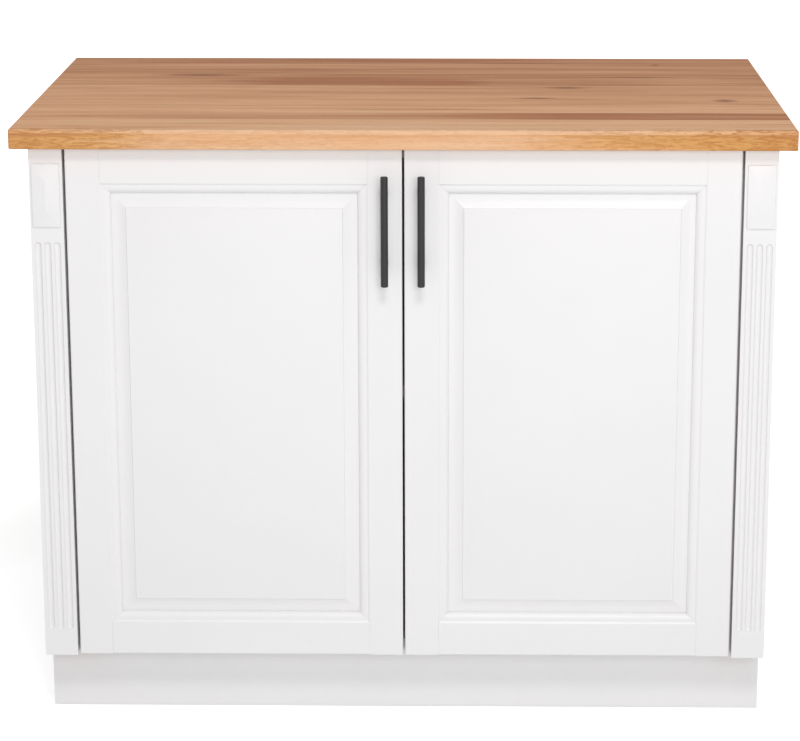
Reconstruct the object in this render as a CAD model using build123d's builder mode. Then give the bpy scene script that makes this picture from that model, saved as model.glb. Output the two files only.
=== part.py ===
from build123d import *
import math
import os

os.makedirs("parts", exist_ok=True)

# A kitchen base cabinet for two doors, in millimetres.
# X runs to the right, Y from the front to the back, Z up from the floor.
# The origin is on the floor, under the middle of the overall box.

# Driving sizes of the cabinet
cabinet_width = 1000.0
carcass_height = 720.0
plinth_height = 100.0
service_void = 36.0

# Worktop
worktop_thickness = 27.0
worktop_depth = 640.0
worktop_overhang = 22.0
worktop_edge_radius = 2.0

# Boards of the box
board = 18.0
back_board = 6.0
groove_depth = 8.0
groove_inset = 12.0
front_rail_depth = 90.0
rear_rail_height = 100.0
shelf_setback = 26.0
pilaster_width = 45.0
front_filler_depth = 70.0
rear_filler_depth = 70.0

# Doors
door_thickness = 20.0
door_back_gap = 2.0
side_gap = 3.5
meeting_gap = 3.0
door_end_gap = 2.5
stile_width = 46.0
rail_width = 47.0
door_edge_ease = 1.2
sticking_width = 14.0
sticking_step = 1.6
sticking_quirk = 2.4
sticking_flat_end = 5.8
panel_groove_front = 8.5
panel_groove_width = 6.0
panel_groove_depth = 10.0
panel_lip_setback = 2.0
panel_float = 1.0
fielding_start = 22.0
fielding_end = 33.5
fielding_depth = 3.2
fielding_step = 0.6
bead_level = 1.9
bead_start = 36.0
field_start = 40.0
field_level = 1.0

# Handles
handle_diameter = 10.0
handle_post_diameter = 9.0
handle_length = 150.0
handle_reach = 32.0
handle_post_spacing = 96.0
handle_from_top = 32.0
handle_thread_depth = 8.0

# Pilaster ornament
flute_count = 3
flute_spacing = 13.0
flute_width = 9.0
flute_depth = 3.2
flute_bottom = 38.0
flute_top = 590.0
block_width = 37.0
block_height = 86.0
block_top_drop = 23.0
block_base = 3.0
block_rise = 8.0
block_ridge = 39.0

# Plinth and legs
plinth_recess = 62.0
plinth_board = 16.0
plinth_floor_gap = 1.0
plinth_top_gap = 2.0
leg_from_plinth = 38.0
rear_leg_from_back = 69.0
socket_flange = 70.0
socket_flange_thickness = 4.0
socket_radius = 16.0
socket_length = 50.0
stem_radius = 10.0
stem_top_gap = 5.0
foot_radius = 30.0
foot_thickness = 8.0
foot_chamfer = 2.0
clip_wall = 2.6
clip_height = 12.0
clip_arm_width = 12.0
clip_mouth = 24.0
clip_plate = 2.0
clip_plate_width = 34.0
clip_low = 54.0
clip_high = 74.0

# Hinges: u runs inward from the outer face of the gable, v forward from its front edge
hinge_from_end = 95.0
cup_radius = 17.5
cup_depth = 12.0
cup_from_edge = 22.5
cup_wall = 1.0
cup_floor = 0.8
cup_flange = 1.2
cup_screw_spread = 45.0
cup_screw_inset = 9.5
ear_radius = 5.0
outer_arm_pivot = (31.1, -16.0)
outer_cup_pivot = (13.2, 5.5)
outer_elbow = (22.8, 11.2)
inner_arm_pivot = (47.0, -2.2)
inner_cup_pivot = (20.2, 5.44)
inner_elbow = (19.0, 3.2)
hinge_pin_radius = 1.5
link_width = 3.8
link_eye_radius = 2.9
outer_link_half = 2.0
lug_thickness = 0.9
inner_link_wall = 2.5
arm_wall = 2.0
link_gap = 0.3
open_eye_width = 4.7
open_eye_travel = 3.0
open_eye_wall = 1.2
arm_eye_radius = 2.6
arm_bottom = 3.5
arm_top = 12.0
arm_back = 60.0
arm_front = 26.0
plate_setback = 37.0
plate_base = 2.5
plate_base_width = 16.0
plate_base_height = 50.0
plate_screw_spread = 32.0
spine_top = 9.7
spine_front = 24.0
adjuster_places = (-31.0, -52.0)
adjuster_radius = 2.0
adjuster_head_radius = 3.5
adjuster_head = 1.6

# Fasteners
fit_gap = 0.05
screw_pocket = 1.0
box_screw_radius = 2.5
box_screw_length = 50.0
box_screw_head_radius = 5.0
box_screw_head = 3.5
wood_screw_radius = 2.0
wood_screw_length = 38.0
wood_screw_head_radius = 4.0
wood_screw_head = 2.2
panel_screw_radius = 1.75
panel_screw_length = 15.0
panel_screw_head_radius = 3.5
panel_screw_head = 2.2
cup_screw_length = 13.0
cup_screw_head = 1.4
worktop_screw_length = 30.0
handle_screw_radius = 2.0
handle_screw_head_radius = 4.0
handle_screw_head = 2.2
dowel_radius = 4.0
dowel_length = 30.0
dowel_depth = 12.0
shelf_pin_radius = 2.5
shelf_pin_depth = 9.0
shelf_pin_shelf = 8.0
shelf_pin_width = 10.0
shelf_pin_pitch = 32.0
shelf_pin_rows = 7
shelf_pin_from_front = 50.0
shelf_pin_from_back = 70.0
shelf_gap = 1.0
bracket_leg = 40.0
bracket_width = 20.0
bracket_thickness = 2.0
bracket_screw_place = 25.0
wall_hole_radius = 3.0
wall_hole_spacing = 600.0
bumper_radius = 4.0
bumper_gap = 0.3
bumper_from_middle = 30.0

# Places of fasteners along the boards
box_screw_from_front = 45.0
box_screw_from_back = 25.0
filler_screw_from_end = 60.0
end_panel_screw_from_end = 150.0
dowel_from_bottom = 80.0
dowel_above_middle = 30.0
dowel_from_top = 20.0
bracket_from_front = 150.0
bracket_from_back = 110.0
rail_slot_travel = 9.0
leg_screw_insets = (9.0, 35.0)
leg_screw_half_pitch = 20.0
clip_screw_half_pitch = 11.0

# Levels
box_bottom = plinth_height
box_top = box_bottom + carcass_height
worktop_top = box_top + worktop_thickness
door_bottom = box_bottom + door_end_gap
door_top = box_top - door_end_gap
door_height = door_top - door_bottom
floor_panel_top = box_bottom + board
box_middle = (box_bottom + box_top) / 2
shelf_underside = box_middle
hinge_levels = (door_bottom + hinge_from_end, door_top - hinge_from_end)
handle_middle = door_top - handle_from_top - handle_length / 2

# Depths, from the front of the handles to the back of the worktop
overall_depth = worktop_depth + max(handle_reach - worktop_overhang, 0.0)
back_y = overall_depth / 2
worktop_front_y = back_y - worktop_depth
door_face_y = worktop_front_y + worktop_overhang
door_back_y = door_face_y + door_thickness
box_front_y = door_back_y + door_back_gap
box_back_y = back_y - service_void
back_panel_y = box_back_y - groove_inset - back_board
rear_rail_y = back_panel_y - board
plinth_face_y = door_face_y + plinth_recess
plinth_back_y = plinth_face_y + plinth_board
handle_axis_y = door_face_y - handle_reach + handle_diameter / 2

# Half widths
outer_x = cabinet_width / 2
gable_x = outer_x - pilaster_width
inner_x = gable_x - board
end_panel_x = outer_x - board
worktop_x = outer_x + worktop_overhang
door_edge_x = gable_x - side_gap
meeting_x = meeting_gap / 2
handle_x = meeting_x + stile_width / 2
plinth_inner_x = outer_x - plinth_board
leg_x = plinth_inner_x - leg_from_plinth
front_leg_y = plinth_back_y + leg_from_plinth
rear_leg_y = box_back_y - rear_leg_from_back

SIDES = {"left": -1, "right": 1}
BACKWARD = Vector(0, 1, 0)
UP = Vector(0, 0, 1)
DOWN = Vector(0, 0, -1)


def save(builder, name):
    """Label a finished piece and write it."""
    builder.part.label = name
    export_step(builder.part, f"parts/{name}.step")


def slab(x, y, z, mode=Mode.ADD):
    """A board between two limits along each of X, Y and Z."""
    with BuildSketch(Plane.XY.offset(min(z))) as outline:
        with Locations((sum(x) / 2, sum(y) / 2)):
            Rectangle(abs(x[1] - x[0]), abs(y[1] - y[0]))
    extrude(outline.sketch, amount=abs(z[1] - z[0]), mode=mode)


def facing(point, direction):
    """The place at a point from which a hole or a screw runs against the direction."""
    return Plane(origin=point, z_dir=direction)


def drill(places, radius, depth):
    """Straight holes, each cut into the piece from its place."""
    with Locations(*places):
        Hole(radius + fit_gap, depth)


def sink(places, radius, head_radius, head, depth):
    """Countersunk holes, each cut into the piece from its place."""
    angle = 2 * math.degrees(math.atan2(head_radius - radius, head))
    with Locations(*places):
        CounterSinkHole(radius + fit_gap, head_radius + fit_gap, depth, angle)


def pan_screws(places, radius, length, head_radius, head):
    """Screws with a flat round head that stands on the surface at each place."""
    with Locations(*places):
        Cylinder(radius, length, align=(Align.CENTER, Align.CENTER, Align.MAX))
        Cylinder(head_radius, head, align=(Align.CENTER, Align.CENTER, Align.MIN))


def sunk_screws(places, radius, length, head_radius, head):
    """Screws with a conical head that lies flush with the surface at each place."""
    with Locations(*places):
        Cylinder(radius, length, align=(Align.CENTER, Align.CENTER, Align.MAX))
        Cone(radius, head_radius, head, align=(Align.CENTER, Align.CENTER, Align.MAX))


def panel_screws_at(places):
    """The short screws that hold plates, legs and clips to boards."""
    pan_screws(places, panel_screw_radius, panel_screw_length, panel_screw_head_radius, panel_screw_head)


def bar(start, end, width):
    """A round-ended bar between two points of the sketch in work."""
    run = Vector(*end) - Vector(*start)
    middle = (Vector(*start) + Vector(*end)) / 2
    with Locations(Location((middle.X, middle.Y), math.degrees(math.atan2(run.Y, run.X)))):
        SlotCenterToCenter(run.length, width)


# Places of the fasteners, shared by the pieces that they join
box_screw_rows = (
    (box_front_y + box_screw_from_front, box_bottom + board / 2),
    ((box_front_y + back_panel_y) / 2, box_bottom + board / 2),
    (back_panel_y - box_screw_from_back, box_bottom + board / 2),
    (box_front_y + front_rail_depth / 4, box_top - board / 2),
    (box_front_y + front_rail_depth * 3 / 4, box_top - board / 2),
    (rear_rail_y + board / 2, box_top - rear_rail_height / 4),
    (rear_rail_y + board / 2, box_top - rear_rail_height * 3 / 4),
)
front_filler_y = (door_back_y, door_back_y + front_filler_depth)
rear_filler_y = (box_back_y - rear_filler_depth, box_back_y)
filler_middles = (sum(front_filler_y) / 2, sum(rear_filler_y) / 2)
gable_to_filler_levels = (
    box_bottom + filler_screw_from_end,
    box_middle,
    box_top - filler_screw_from_end,
)
filler_to_panel_levels = (
    box_bottom + end_panel_screw_from_end,
    box_top - end_panel_screw_from_end,
)
dowel_levels = (
    box_bottom + dowel_from_bottom,
    box_middle + dowel_above_middle,
    box_top - dowel_from_top,
)
worktop_screw_places = (-cabinet_width / 3, 0.0, cabinet_width / 3)
worktop_screw_y = box_front_y + front_rail_depth / 2
bracket_places = (box_front_y + bracket_from_front, box_back_y - bracket_from_back)
wall_hole_level = box_top - rear_rail_height / 2
shelf_pin_columns = (box_front_y + shelf_pin_from_front, back_panel_y - shelf_pin_from_back)
leg_places = {
    "front_left": (-leg_x, front_leg_y),
    "front_right": (leg_x, front_leg_y),
    "rear_left": (-leg_x, rear_leg_y),
    "rear_right": (leg_x, rear_leg_y),
}
leg_screw_x = [inner_x - inset for inset in leg_screw_insets]
socket_bottom = box_bottom - socket_flange_thickness - socket_length


def box_screw_places(sign):
    """Outer face of a gable, where the box screws go in."""
    return [facing((sign * gable_x, y, z), (sign, 0, 0)) for y, z in box_screw_rows]


def gable_to_filler_places(sign):
    """Inner face of a gable, where the screws go out into the filler posts."""
    return [
        facing((sign * inner_x, y, z), (-sign, 0, 0))
        for y in filler_middles
        for z in gable_to_filler_levels
    ]


def filler_to_panel_places(sign):
    """Inner face of a filler post, where the screws go out into the end panel."""
    return [
        facing((sign * gable_x, y, z), (-sign, 0, 0))
        for y in filler_middles
        for z in filler_to_panel_levels
    ]


def hinge_plate_places(sign):
    """Faces of the mounting plates, where their screws go into a gable."""
    return [
        facing((sign * (inner_x - plate_base), box_front_y + plate_setback, z + half), (-sign, 0, 0))
        for z in hinge_levels
        for half in (-plate_screw_spread / 2, plate_screw_spread / 2)
    ]


def bracket_gable_places(sign):
    """Faces of the worktop brackets, where a screw goes into the gable."""
    x = sign * (inner_x - bracket_thickness)
    return [facing((x, y, box_top - bracket_screw_place), (-sign, 0, 0)) for y in bracket_places]


def bracket_worktop_places(sign):
    """Undersides of the worktop brackets, where a screw goes up into the worktop."""
    x = sign * (inner_x - bracket_screw_place)
    return [facing((x, y, box_top - bracket_thickness), (0, 0, -1)) for y in bracket_places]


def shelf_pin_places(sign, levels):
    """Holes for shelf pins in the inner face of a gable."""
    return [facing((sign * inner_x, y, z), (-sign, 0, 0)) for y in shelf_pin_columns for z in levels]


def socket_screw_places():
    """Undersides of the leg flanges, where screws go up into the base panel."""
    return [
        facing((math.copysign(x, leg[0]), leg[1] + half, box_bottom - socket_flange_thickness), (0, 0, -1))
        for leg in leg_places.values()
        for x in leg_screw_x
        for half in (-leg_screw_half_pitch, leg_screw_half_pitch)
    ]


def dowel_places(sign):
    """Back of a pilaster, where its dowels meet the front filler post."""
    x = sign * (gable_x + board * 3 / 4)
    return [facing((x, door_back_y, z), (0, 1, 0)) for z in dowel_levels]


pin_levels = [
    shelf_underside - shelf_pin_width / 2 + shelf_pin_pitch * (row - shelf_pin_rows // 2)
    for row in range(shelf_pin_rows)
]
used_pin_level = shelf_underside - shelf_pin_width / 2
worktop_screw_heads = [
    facing((x, worktop_screw_y, box_top - board), (0, 0, -1)) for x in worktop_screw_places
]

# Worktop, one glued slab of oak with eased edges
with BuildPart() as worktop:
    slab((-worktop_x, worktop_x), (worktop_front_y, back_y), (box_top, worktop_top))
    fillet(worktop.edges(), worktop_edge_radius)
    drill(
        [facing((x, worktop_screw_y, box_top), DOWN) for x in worktop_screw_places],
        wood_screw_radius,
        worktop_screw_length - board + screw_pocket,
    )
    for side in SIDES.values():
        drill(
            bracket_worktop_places(side),
            panel_screw_radius,
            panel_screw_length + screw_pocket,
        )
save(worktop, "worktop")

# Gables, the two side walls of the box
for name, side in SIDES.items():
    with BuildPart() as gable:
        slab((side * gable_x, side * inner_x), (box_front_y, box_back_y), (box_bottom, box_top))
        slab(
            (side * inner_x, side * (inner_x + groove_depth)),
            (back_panel_y - fit_gap, back_panel_y + back_board + fit_gap),
            (box_bottom, box_top),
            mode=Mode.SUBTRACT,
        )
        sink(box_screw_places(side), box_screw_radius, box_screw_head_radius, box_screw_head, board)
        sink(
            gable_to_filler_places(side),
            wood_screw_radius,
            wood_screw_head_radius,
            wood_screw_head,
            board,
        )
        drill(hinge_plate_places(side), panel_screw_radius, panel_screw_length + screw_pocket)
        drill(bracket_gable_places(side), panel_screw_radius, panel_screw_length + screw_pocket)
        drill(shelf_pin_places(side, pin_levels), shelf_pin_radius, shelf_pin_depth + screw_pocket)
    save(gable, f"gable_{name}")

# Base panel, between the gables
with BuildPart() as base_panel:
    slab((-inner_x, inner_x), (box_front_y, box_back_y), (box_bottom, floor_panel_top))
    slab(
        (-inner_x, inner_x),
        (back_panel_y - fit_gap, back_panel_y + back_board + fit_gap),
        (floor_panel_top - groove_depth, floor_panel_top),
        mode=Mode.SUBTRACT,
    )
    for side in SIDES.values():
        drill(box_screw_places(side)[:3], box_screw_radius, box_screw_length + screw_pocket)
    drill(socket_screw_places(), panel_screw_radius, panel_screw_length + screw_pocket)
save(base_panel, "base_panel")

# Front rail, flat under the worktop, with slots that let the oak move
with BuildPart() as front_rail:
    slab(
        (-inner_x, inner_x),
        (box_front_y, box_front_y + front_rail_depth),
        (box_top - board, box_top),
    )
    with BuildSketch(Plane.XY.offset(box_top)):
        with Locations(*[(x, worktop_screw_y) for x in worktop_screw_places]):
            SlotCenterToCenter(rail_slot_travel, 2 * wood_screw_radius + screw_pocket, rotation=90)
    extrude(amount=-board, mode=Mode.SUBTRACT)
    for side in SIDES.values():
        drill(box_screw_places(side)[3:5], box_screw_radius, box_screw_length + screw_pocket)
save(front_rail, "front_rail")

# Rear rail, on edge before the back panel, through which the cabinet is fixed to a wall
with BuildPart() as rear_rail:
    slab((-inner_x, inner_x), (rear_rail_y, back_panel_y), (box_top - rear_rail_height, box_top))
    with Locations(*[
        facing((x, rear_rail_y, wall_hole_level), (0, -1, 0))
        for x in (-wall_hole_spacing / 2, wall_hole_spacing / 2)
    ]):
        Hole(wall_hole_radius, board)
    for side in SIDES.values():
        drill(box_screw_places(side)[5:], box_screw_radius, box_screw_length + screw_pocket)
save(rear_rail, "rear_rail")

# Back panel, held in the grooves
with BuildPart() as back_panel:
    slab(
        (-inner_x - groove_depth + shelf_gap, inner_x + groove_depth - shelf_gap),
        (back_panel_y, back_panel_y + back_board),
        (floor_panel_top - groove_depth, box_top),
    )
    with Locations(*[
        facing((x, back_panel_y, wall_hole_level), (0, -1, 0))
        for x in (-wall_hole_spacing / 2, wall_hole_spacing / 2)
    ]):
        Hole(wall_hole_radius, back_board)
save(back_panel, "back_panel")

# Shelf, loose on its pins
with BuildPart() as shelf:
    slab(
        (-inner_x + shelf_gap, inner_x - shelf_gap),
        (box_front_y + shelf_setback, back_panel_y - shelf_gap),
        (shelf_underside, shelf_underside + board),
    )
save(shelf, "shelf")

# Shelf pins, a round peg with a flat-topped tongue
with BuildPart() as shelf_pins:
    for side in SIDES.values():
        with Locations(*shelf_pin_places(side, [used_pin_level])):
            Cylinder(
                shelf_pin_radius,
                shelf_pin_depth,
                align=(Align.CENTER, Align.CENTER, Align.MAX),
            )
        for y in shelf_pin_columns:
            slab(
                (side * inner_x, side * (inner_x - shelf_pin_shelf)),
                (y - shelf_pin_width / 2, y + shelf_pin_width / 2),
                (shelf_underside - shelf_pin_width, shelf_underside),
            )
save(shelf_pins, "shelf_pins")

# Filler posts, which set the end panels out from the gables
for name, limits, middle in zip(("front", "rear"), (front_filler_y, rear_filler_y), filler_middles):
    with BuildPart() as fillers:
        for side in SIDES.values():
            slab((side * gable_x, side * end_panel_x), limits, (box_bottom, box_top))
            sink(
                [place for place in filler_to_panel_places(side) if place.origin.Y == middle],
                wood_screw_radius,
                wood_screw_head_radius,
                wood_screw_head,
                end_panel_x - gable_x,
            )
            drill(
                [place for place in gable_to_filler_places(side) if place.origin.Y == middle],
                wood_screw_radius,
                wood_screw_length + screw_pocket,
            )
            if name == "front":
                drill(
                    [facing(place.origin, (0, -1, 0)) for place in dowel_places(side)],
                    dowel_radius,
                    dowel_length - dowel_depth + screw_pocket,
                )
    save(fillers, f"{name}_fillers")

# End panels, the painted sides that show
for name, side in SIDES.items():
    with BuildPart() as end_panel:
        slab((side * end_panel_x, side * outer_x), (door_back_y, back_y), (box_bottom, box_top))
        drill(filler_to_panel_places(side), wood_screw_radius, wood_screw_length + screw_pocket)
    save(end_panel, f"end_panel_{name}")

# Pilasters, with round-bottomed flutes that end in a quarter ball
flute_radius = (flute_width**2 / 4 + flute_depth**2) / (2 * flute_depth)
flute_axis_y = door_face_y - flute_radius + flute_depth
for name, side in SIDES.items():
    pilaster_middle = side * (gable_x + pilaster_width / 2)
    with BuildPart() as pilaster:
        slab((side * gable_x, side * outer_x), (door_face_y, door_back_y), (box_bottom, box_top))
        for flute in range(flute_count):
            flute_x = pilaster_middle + (flute - (flute_count - 1) / 2) * flute_spacing
            with Locations((flute_x, flute_axis_y, box_bottom + (flute_bottom + flute_top) / 2)):
                Cylinder(flute_radius, flute_top - flute_bottom - 2 * flute_radius, mode=Mode.SUBTRACT)
            with Locations(
                (flute_x, flute_axis_y, box_bottom + flute_bottom + flute_radius),
                (flute_x, flute_axis_y, box_bottom + flute_top - flute_radius),
            ):
                Sphere(flute_radius, mode=Mode.SUBTRACT)
        drill(dowel_places(side), dowel_radius, dowel_depth + screw_pocket)
    save(pilaster, f"pilaster_{name}")

    block_bottom = box_top - block_top_drop - block_height
    block_slope = (block_height - block_ridge) / 2
    with BuildPart() as pilaster_block:
        with BuildSketch(Plane.XY.offset(block_bottom)):
            with Locations((pilaster_middle, door_face_y)):
                Polygon(
                    (-block_width / 2, 0),
                    (-block_width / 2, -block_base),
                    (0, -block_rise),
                    (block_width / 2, -block_base),
                    (block_width / 2, 0),
                    align=None,
                )
        extrude(amount=block_height)
        with BuildSketch(Plane.YZ.offset(pilaster_middle)):
            with Locations((door_face_y, block_bottom)):
                Polygon(
                    (0, 0),
                    (-block_base, 0),
                    (-block_rise, block_slope),
                    (-block_rise, block_slope + block_ridge),
                    (-block_base, block_height),
                    (0, block_height),
                    align=None,
                )
        extrude(amount=block_width, both=True, mode=Mode.INTERSECT)
    save(pilaster_block, f"pilaster_block_{name}")

# Screws of the box
with BuildPart() as carcass_screws:
    for side in SIDES.values():
        sunk_screws(
            box_screw_places(side),
            box_screw_radius,
            box_screw_length,
            box_screw_head_radius,
            box_screw_head,
        )
save(carcass_screws, "carcass_screws")

# Screws of the filler posts
with BuildPart() as filler_screws:
    for side in SIDES.values():
        sunk_screws(
            gable_to_filler_places(side) + filler_to_panel_places(side),
            wood_screw_radius,
            wood_screw_length,
            wood_screw_head_radius,
            wood_screw_head,
        )
save(filler_screws, "filler_screws")

# Dowels of the pilasters
with BuildPart() as pilaster_dowels:
    for side in SIDES.values():
        with Locations(*[place.offset(-dowel_depth) for place in dowel_places(side)]):
            Cylinder(dowel_radius, dowel_length, align=(Align.CENTER, Align.CENTER, Align.MIN))
save(pilaster_dowels, "pilaster_dowels")

# Screws that hold the worktop to the front rail
with BuildPart() as worktop_screws:
    pan_screws(
        worktop_screw_heads,
        wood_screw_radius,
        worktop_screw_length,
        wood_screw_head_radius + screw_pocket,
        panel_screw_head,
    )
save(worktop_screws, "worktop_screws")

# Angle brackets that hold the worktop to the gables
with BuildPart() as worktop_brackets:
    for side in SIDES.values():
        for y in bracket_places:
            width = (y - bracket_width / 2, y + bracket_width / 2)
            slab(
                (side * inner_x, side * (inner_x - bracket_thickness)),
                width,
                (box_top - bracket_leg, box_top),
            )
            slab(
                (side * inner_x, side * (inner_x - bracket_leg)),
                width,
                (box_top - bracket_thickness, box_top),
            )
        drill(bracket_gable_places(side), panel_screw_radius, bracket_thickness)
        drill(bracket_worktop_places(side), panel_screw_radius, bracket_thickness)
save(worktop_brackets, "worktop_brackets")

# Plinth boards
plinth_levels = (plinth_floor_gap, plinth_height - plinth_top_gap)
clip_levels = {
    "front": (clip_low, clip_low + clip_height),
    "side": (clip_high, clip_high + clip_height),
}


def clip_screw_places(facade):
    """Faces of the clip plates, where screws go into the plinth boards."""
    middle = sum(clip_levels[facade]) / 2
    if facade == "front":
        return [
            facing((leg[0] + half, plinth_back_y + clip_plate, middle), (0, 1, 0))
            for leg in leg_places.values()
            if leg[1] == front_leg_y
            for half in (-clip_screw_half_pitch, clip_screw_half_pitch)
        ]
    return [
        facing(
            (math.copysign(plinth_inner_x - clip_plate, leg[0]), leg[1] + half, middle),
            (-math.copysign(1, leg[0]), 0, 0),
        )
        for leg in leg_places.values()
        for half in (-clip_screw_half_pitch, clip_screw_half_pitch)
    ]


with BuildPart() as plinth_front:
    slab((-outer_x, outer_x), (plinth_face_y, plinth_back_y), plinth_levels)
    drill(
        clip_screw_places("front"),
        panel_screw_radius,
        panel_screw_length + screw_pocket / 2,
    )
save(plinth_front, "plinth_front")

for name, side in SIDES.items():
    with BuildPart() as plinth_side:
        slab((side * plinth_inner_x, side * outer_x), (plinth_back_y, back_y), plinth_levels)
        drill(
            [place for place in clip_screw_places("side") if place.origin.X * side > 0],
            panel_screw_radius,
            panel_screw_length + screw_pocket / 2,
        )
    save(plinth_side, f"plinth_side_{name}")

# Clips that hold the plinth boards to the legs: an open ring, an arm and a plate
clip_inner = socket_radius + fit_gap
clip_outer = clip_inner + clip_wall
with BuildPart() as plinth_clips:
    for leg_name, (x, y) in leg_places.items():
        outward = math.copysign(1, x)
        directions = {"side": Vector(outward, 0, 0)}
        if "front" in leg_name:
            directions["front"] = Vector(0, -1, 0)
        for facade, toward in directions.items():
            clip_plane = Plane(origin=(x, y, clip_levels[facade][0]), x_dir=toward, z_dir=UP)
            with BuildSketch(clip_plane):
                Circle(clip_outer)
                with Locations((leg_from_plinth / 2, 0)):
                    Rectangle(leg_from_plinth, clip_arm_width)
                with Locations((leg_from_plinth - clip_plate / 2, 0)):
                    Rectangle(clip_plate, clip_plate_width)
                Circle(clip_inner, mode=Mode.SUBTRACT)
                with Locations((-clip_outer, 0)):
                    Rectangle(clip_outer, clip_mouth, mode=Mode.SUBTRACT)
            extrude(amount=clip_height)
    drill(clip_screw_places("front"), panel_screw_radius, clip_plate)
    drill(clip_screw_places("side"), panel_screw_radius, clip_plate)
save(plinth_clips, "plinth_clips")

# Leg sockets, a square flange with a threaded tube
with BuildPart() as leg_sockets:
    for x, y in leg_places.values():
        outward = math.copysign(1, x)
        flange_middle = x - outward * (leg_x - (leg_screw_x[0] + leg_screw_x[1]) / 2) / 2
        slab(
            (flange_middle - socket_flange / 2, flange_middle + socket_flange / 2),
            (y - socket_flange / 2, y + socket_flange / 2),
            (box_bottom - socket_flange_thickness, box_bottom),
        )
        with Locations((x, y, box_bottom - socket_flange_thickness)):
            Cylinder(socket_radius, socket_length, align=(Align.CENTER, Align.CENTER, Align.MAX))
        drill(
            [facing((x, y, socket_bottom), (0, 0, -1))],
            stem_radius,
            socket_length,
        )
    drill(socket_screw_places(), panel_screw_radius, socket_flange_thickness)
save(leg_sockets, "leg_sockets")

# Feet, which turn on their stems to level the cabinet
for leg_name, (x, y) in leg_places.items():
    with BuildPart() as leg_foot:
        with Locations((x, y, 0)):
            Cylinder(foot_radius, foot_thickness, align=(Align.CENTER, Align.CENTER, Align.MIN))
        chamfer(leg_foot.faces().sort_by(Axis.Z)[-1].edges(), foot_chamfer)
        with Locations((x, y, foot_thickness)):
            Cylinder(
                stem_radius,
                box_bottom - socket_flange_thickness - stem_top_gap - foot_thickness,
                align=(Align.CENTER, Align.CENTER, Align.MIN),
            )
    save(leg_foot, f"leg_foot_{leg_name}")

# Short screws of the plates, brackets, leg flanges and clips
with BuildPart() as panel_screws:
    panel_screws_at(socket_screw_places())
    panel_screws_at(clip_screw_places("front"))
    panel_screws_at(clip_screw_places("side"))
    for side in SIDES.values():
        panel_screws_at(hinge_plate_places(side))
        panel_screws_at(bracket_gable_places(side))
        panel_screws_at(bracket_worktop_places(side))
save(panel_screws, "panel_screws")

# Soft bumpers on the front edges of the base panel and the front rail
with BuildPart() as door_bumpers:
    with Locations(*[
        facing((x, box_front_y, z), (0, -1, 0))
        for x in (-bumper_from_middle, bumper_from_middle)
        for z in (box_bottom + board / 2, box_top - board / 2)
    ]):
        Cylinder(
            bumper_radius,
            door_back_gap - bumper_gap,
            align=(Align.CENTER, Align.CENTER, Align.MIN),
        )
save(door_bumpers, "door_bumpers")


def hinge_plane(side, level):
    """Plane of a hinge: u inward from the gable's outer face, v forward from its front edge."""
    return Plane(origin=(side * gable_x, box_front_y, level), x_dir=(-side, 0, 0), z_dir=(0, 0, side))


# Layers of a hinge, as distances from its middle plane
lug_end = outer_link_half + link_gap + lug_thickness
inner_link_start = lug_end + link_gap
inner_link_end = inner_link_start + inner_link_wall
arm_start = inner_link_end + link_gap
arm_end = arm_start + arm_wall
cup_u = side_gap + cup_from_edge
lug_root = cup_u - cup_radius + cup_wall + arm_eye_radius
inner_pin_end = math.sqrt((cup_radius - cup_wall / 2) ** 2 - (cup_u - inner_cup_pivot[0]) ** 2)
pin_hole_radius = hinge_pin_radius + fit_gap
sides_and_levels = [(side, level) for side in SIDES.values() for level in hinge_levels]

# Mounting plates of the hinges
with BuildPart() as hinge_plates:
    for side, level in sides_and_levels:
        with BuildSketch(hinge_plane(side, level)):
            with Locations((board + plate_base / 2, -plate_setback)):
                Rectangle(plate_base, plate_base_width)
        extrude(amount=plate_base_height / 2, both=True)
        with BuildSketch(hinge_plane(side, level)):
            with Locations((board + spine_top / 2, -(spine_front + arm_back) / 2)):
                Rectangle(spine_top, arm_back - spine_front)
        extrude(amount=arm_start - link_gap, both=True)
        drill(hinge_plate_places(side), panel_screw_radius, plate_base)
        drill(
            [
                facing((side * (inner_x - spine_top), box_front_y - place, level), (-side, 0, 0))
                for place in adjuster_places
            ],
            adjuster_radius,
            spine_top - plate_base,
        )
save(hinge_plates, "hinge_plates")

# Hinge arms: two cheeks and a roof over the mounting plate
with BuildPart() as hinge_arms:
    for side, level in sides_and_levels:
        for start in (arm_start, -arm_end):
            with BuildSketch(hinge_plane(side, level).offset(start)):
                with BuildLine():
                    Line((board + arm_bottom, -arm_front), (board + arm_top, -arm_front))
                    CenterArc(outer_arm_pivot, arm_eye_radius, 0, 360)
                    CenterArc(inner_arm_pivot, arm_eye_radius, 0, 360)
                make_hull()
                with Locations((board + (arm_bottom + arm_top) / 2, -(arm_front + arm_back) / 2)):
                    Rectangle(arm_top - arm_bottom, arm_back - arm_front)
                with Locations(outer_arm_pivot, inner_arm_pivot):
                    Circle(pin_hole_radius, mode=Mode.SUBTRACT)
            extrude(amount=arm_wall)
        with BuildSketch(hinge_plane(side, level)):
            with Locations((board + arm_top - arm_wall / 2, -(arm_front + arm_back) / 2)):
                Rectangle(arm_wall, arm_back - arm_front)
        extrude(amount=arm_end, both=True)
        drill(
            [
                facing((side * (inner_x - arm_top), box_front_y - place, level), (-side, 0, 0))
                for place in adjuster_places
            ],
            adjuster_radius,
            arm_wall,
        )
save(hinge_arms, "hinge_arms")

# Pins of the arms
with BuildPart() as hinge_arm_pins:
    for side, level in sides_and_levels:
        with BuildSketch(hinge_plane(side, level)):
            with Locations(outer_arm_pivot, inner_arm_pivot):
                Circle(hinge_pin_radius)
        extrude(amount=arm_end, both=True)
save(hinge_arm_pins, "hinge_arm_pins")

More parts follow.
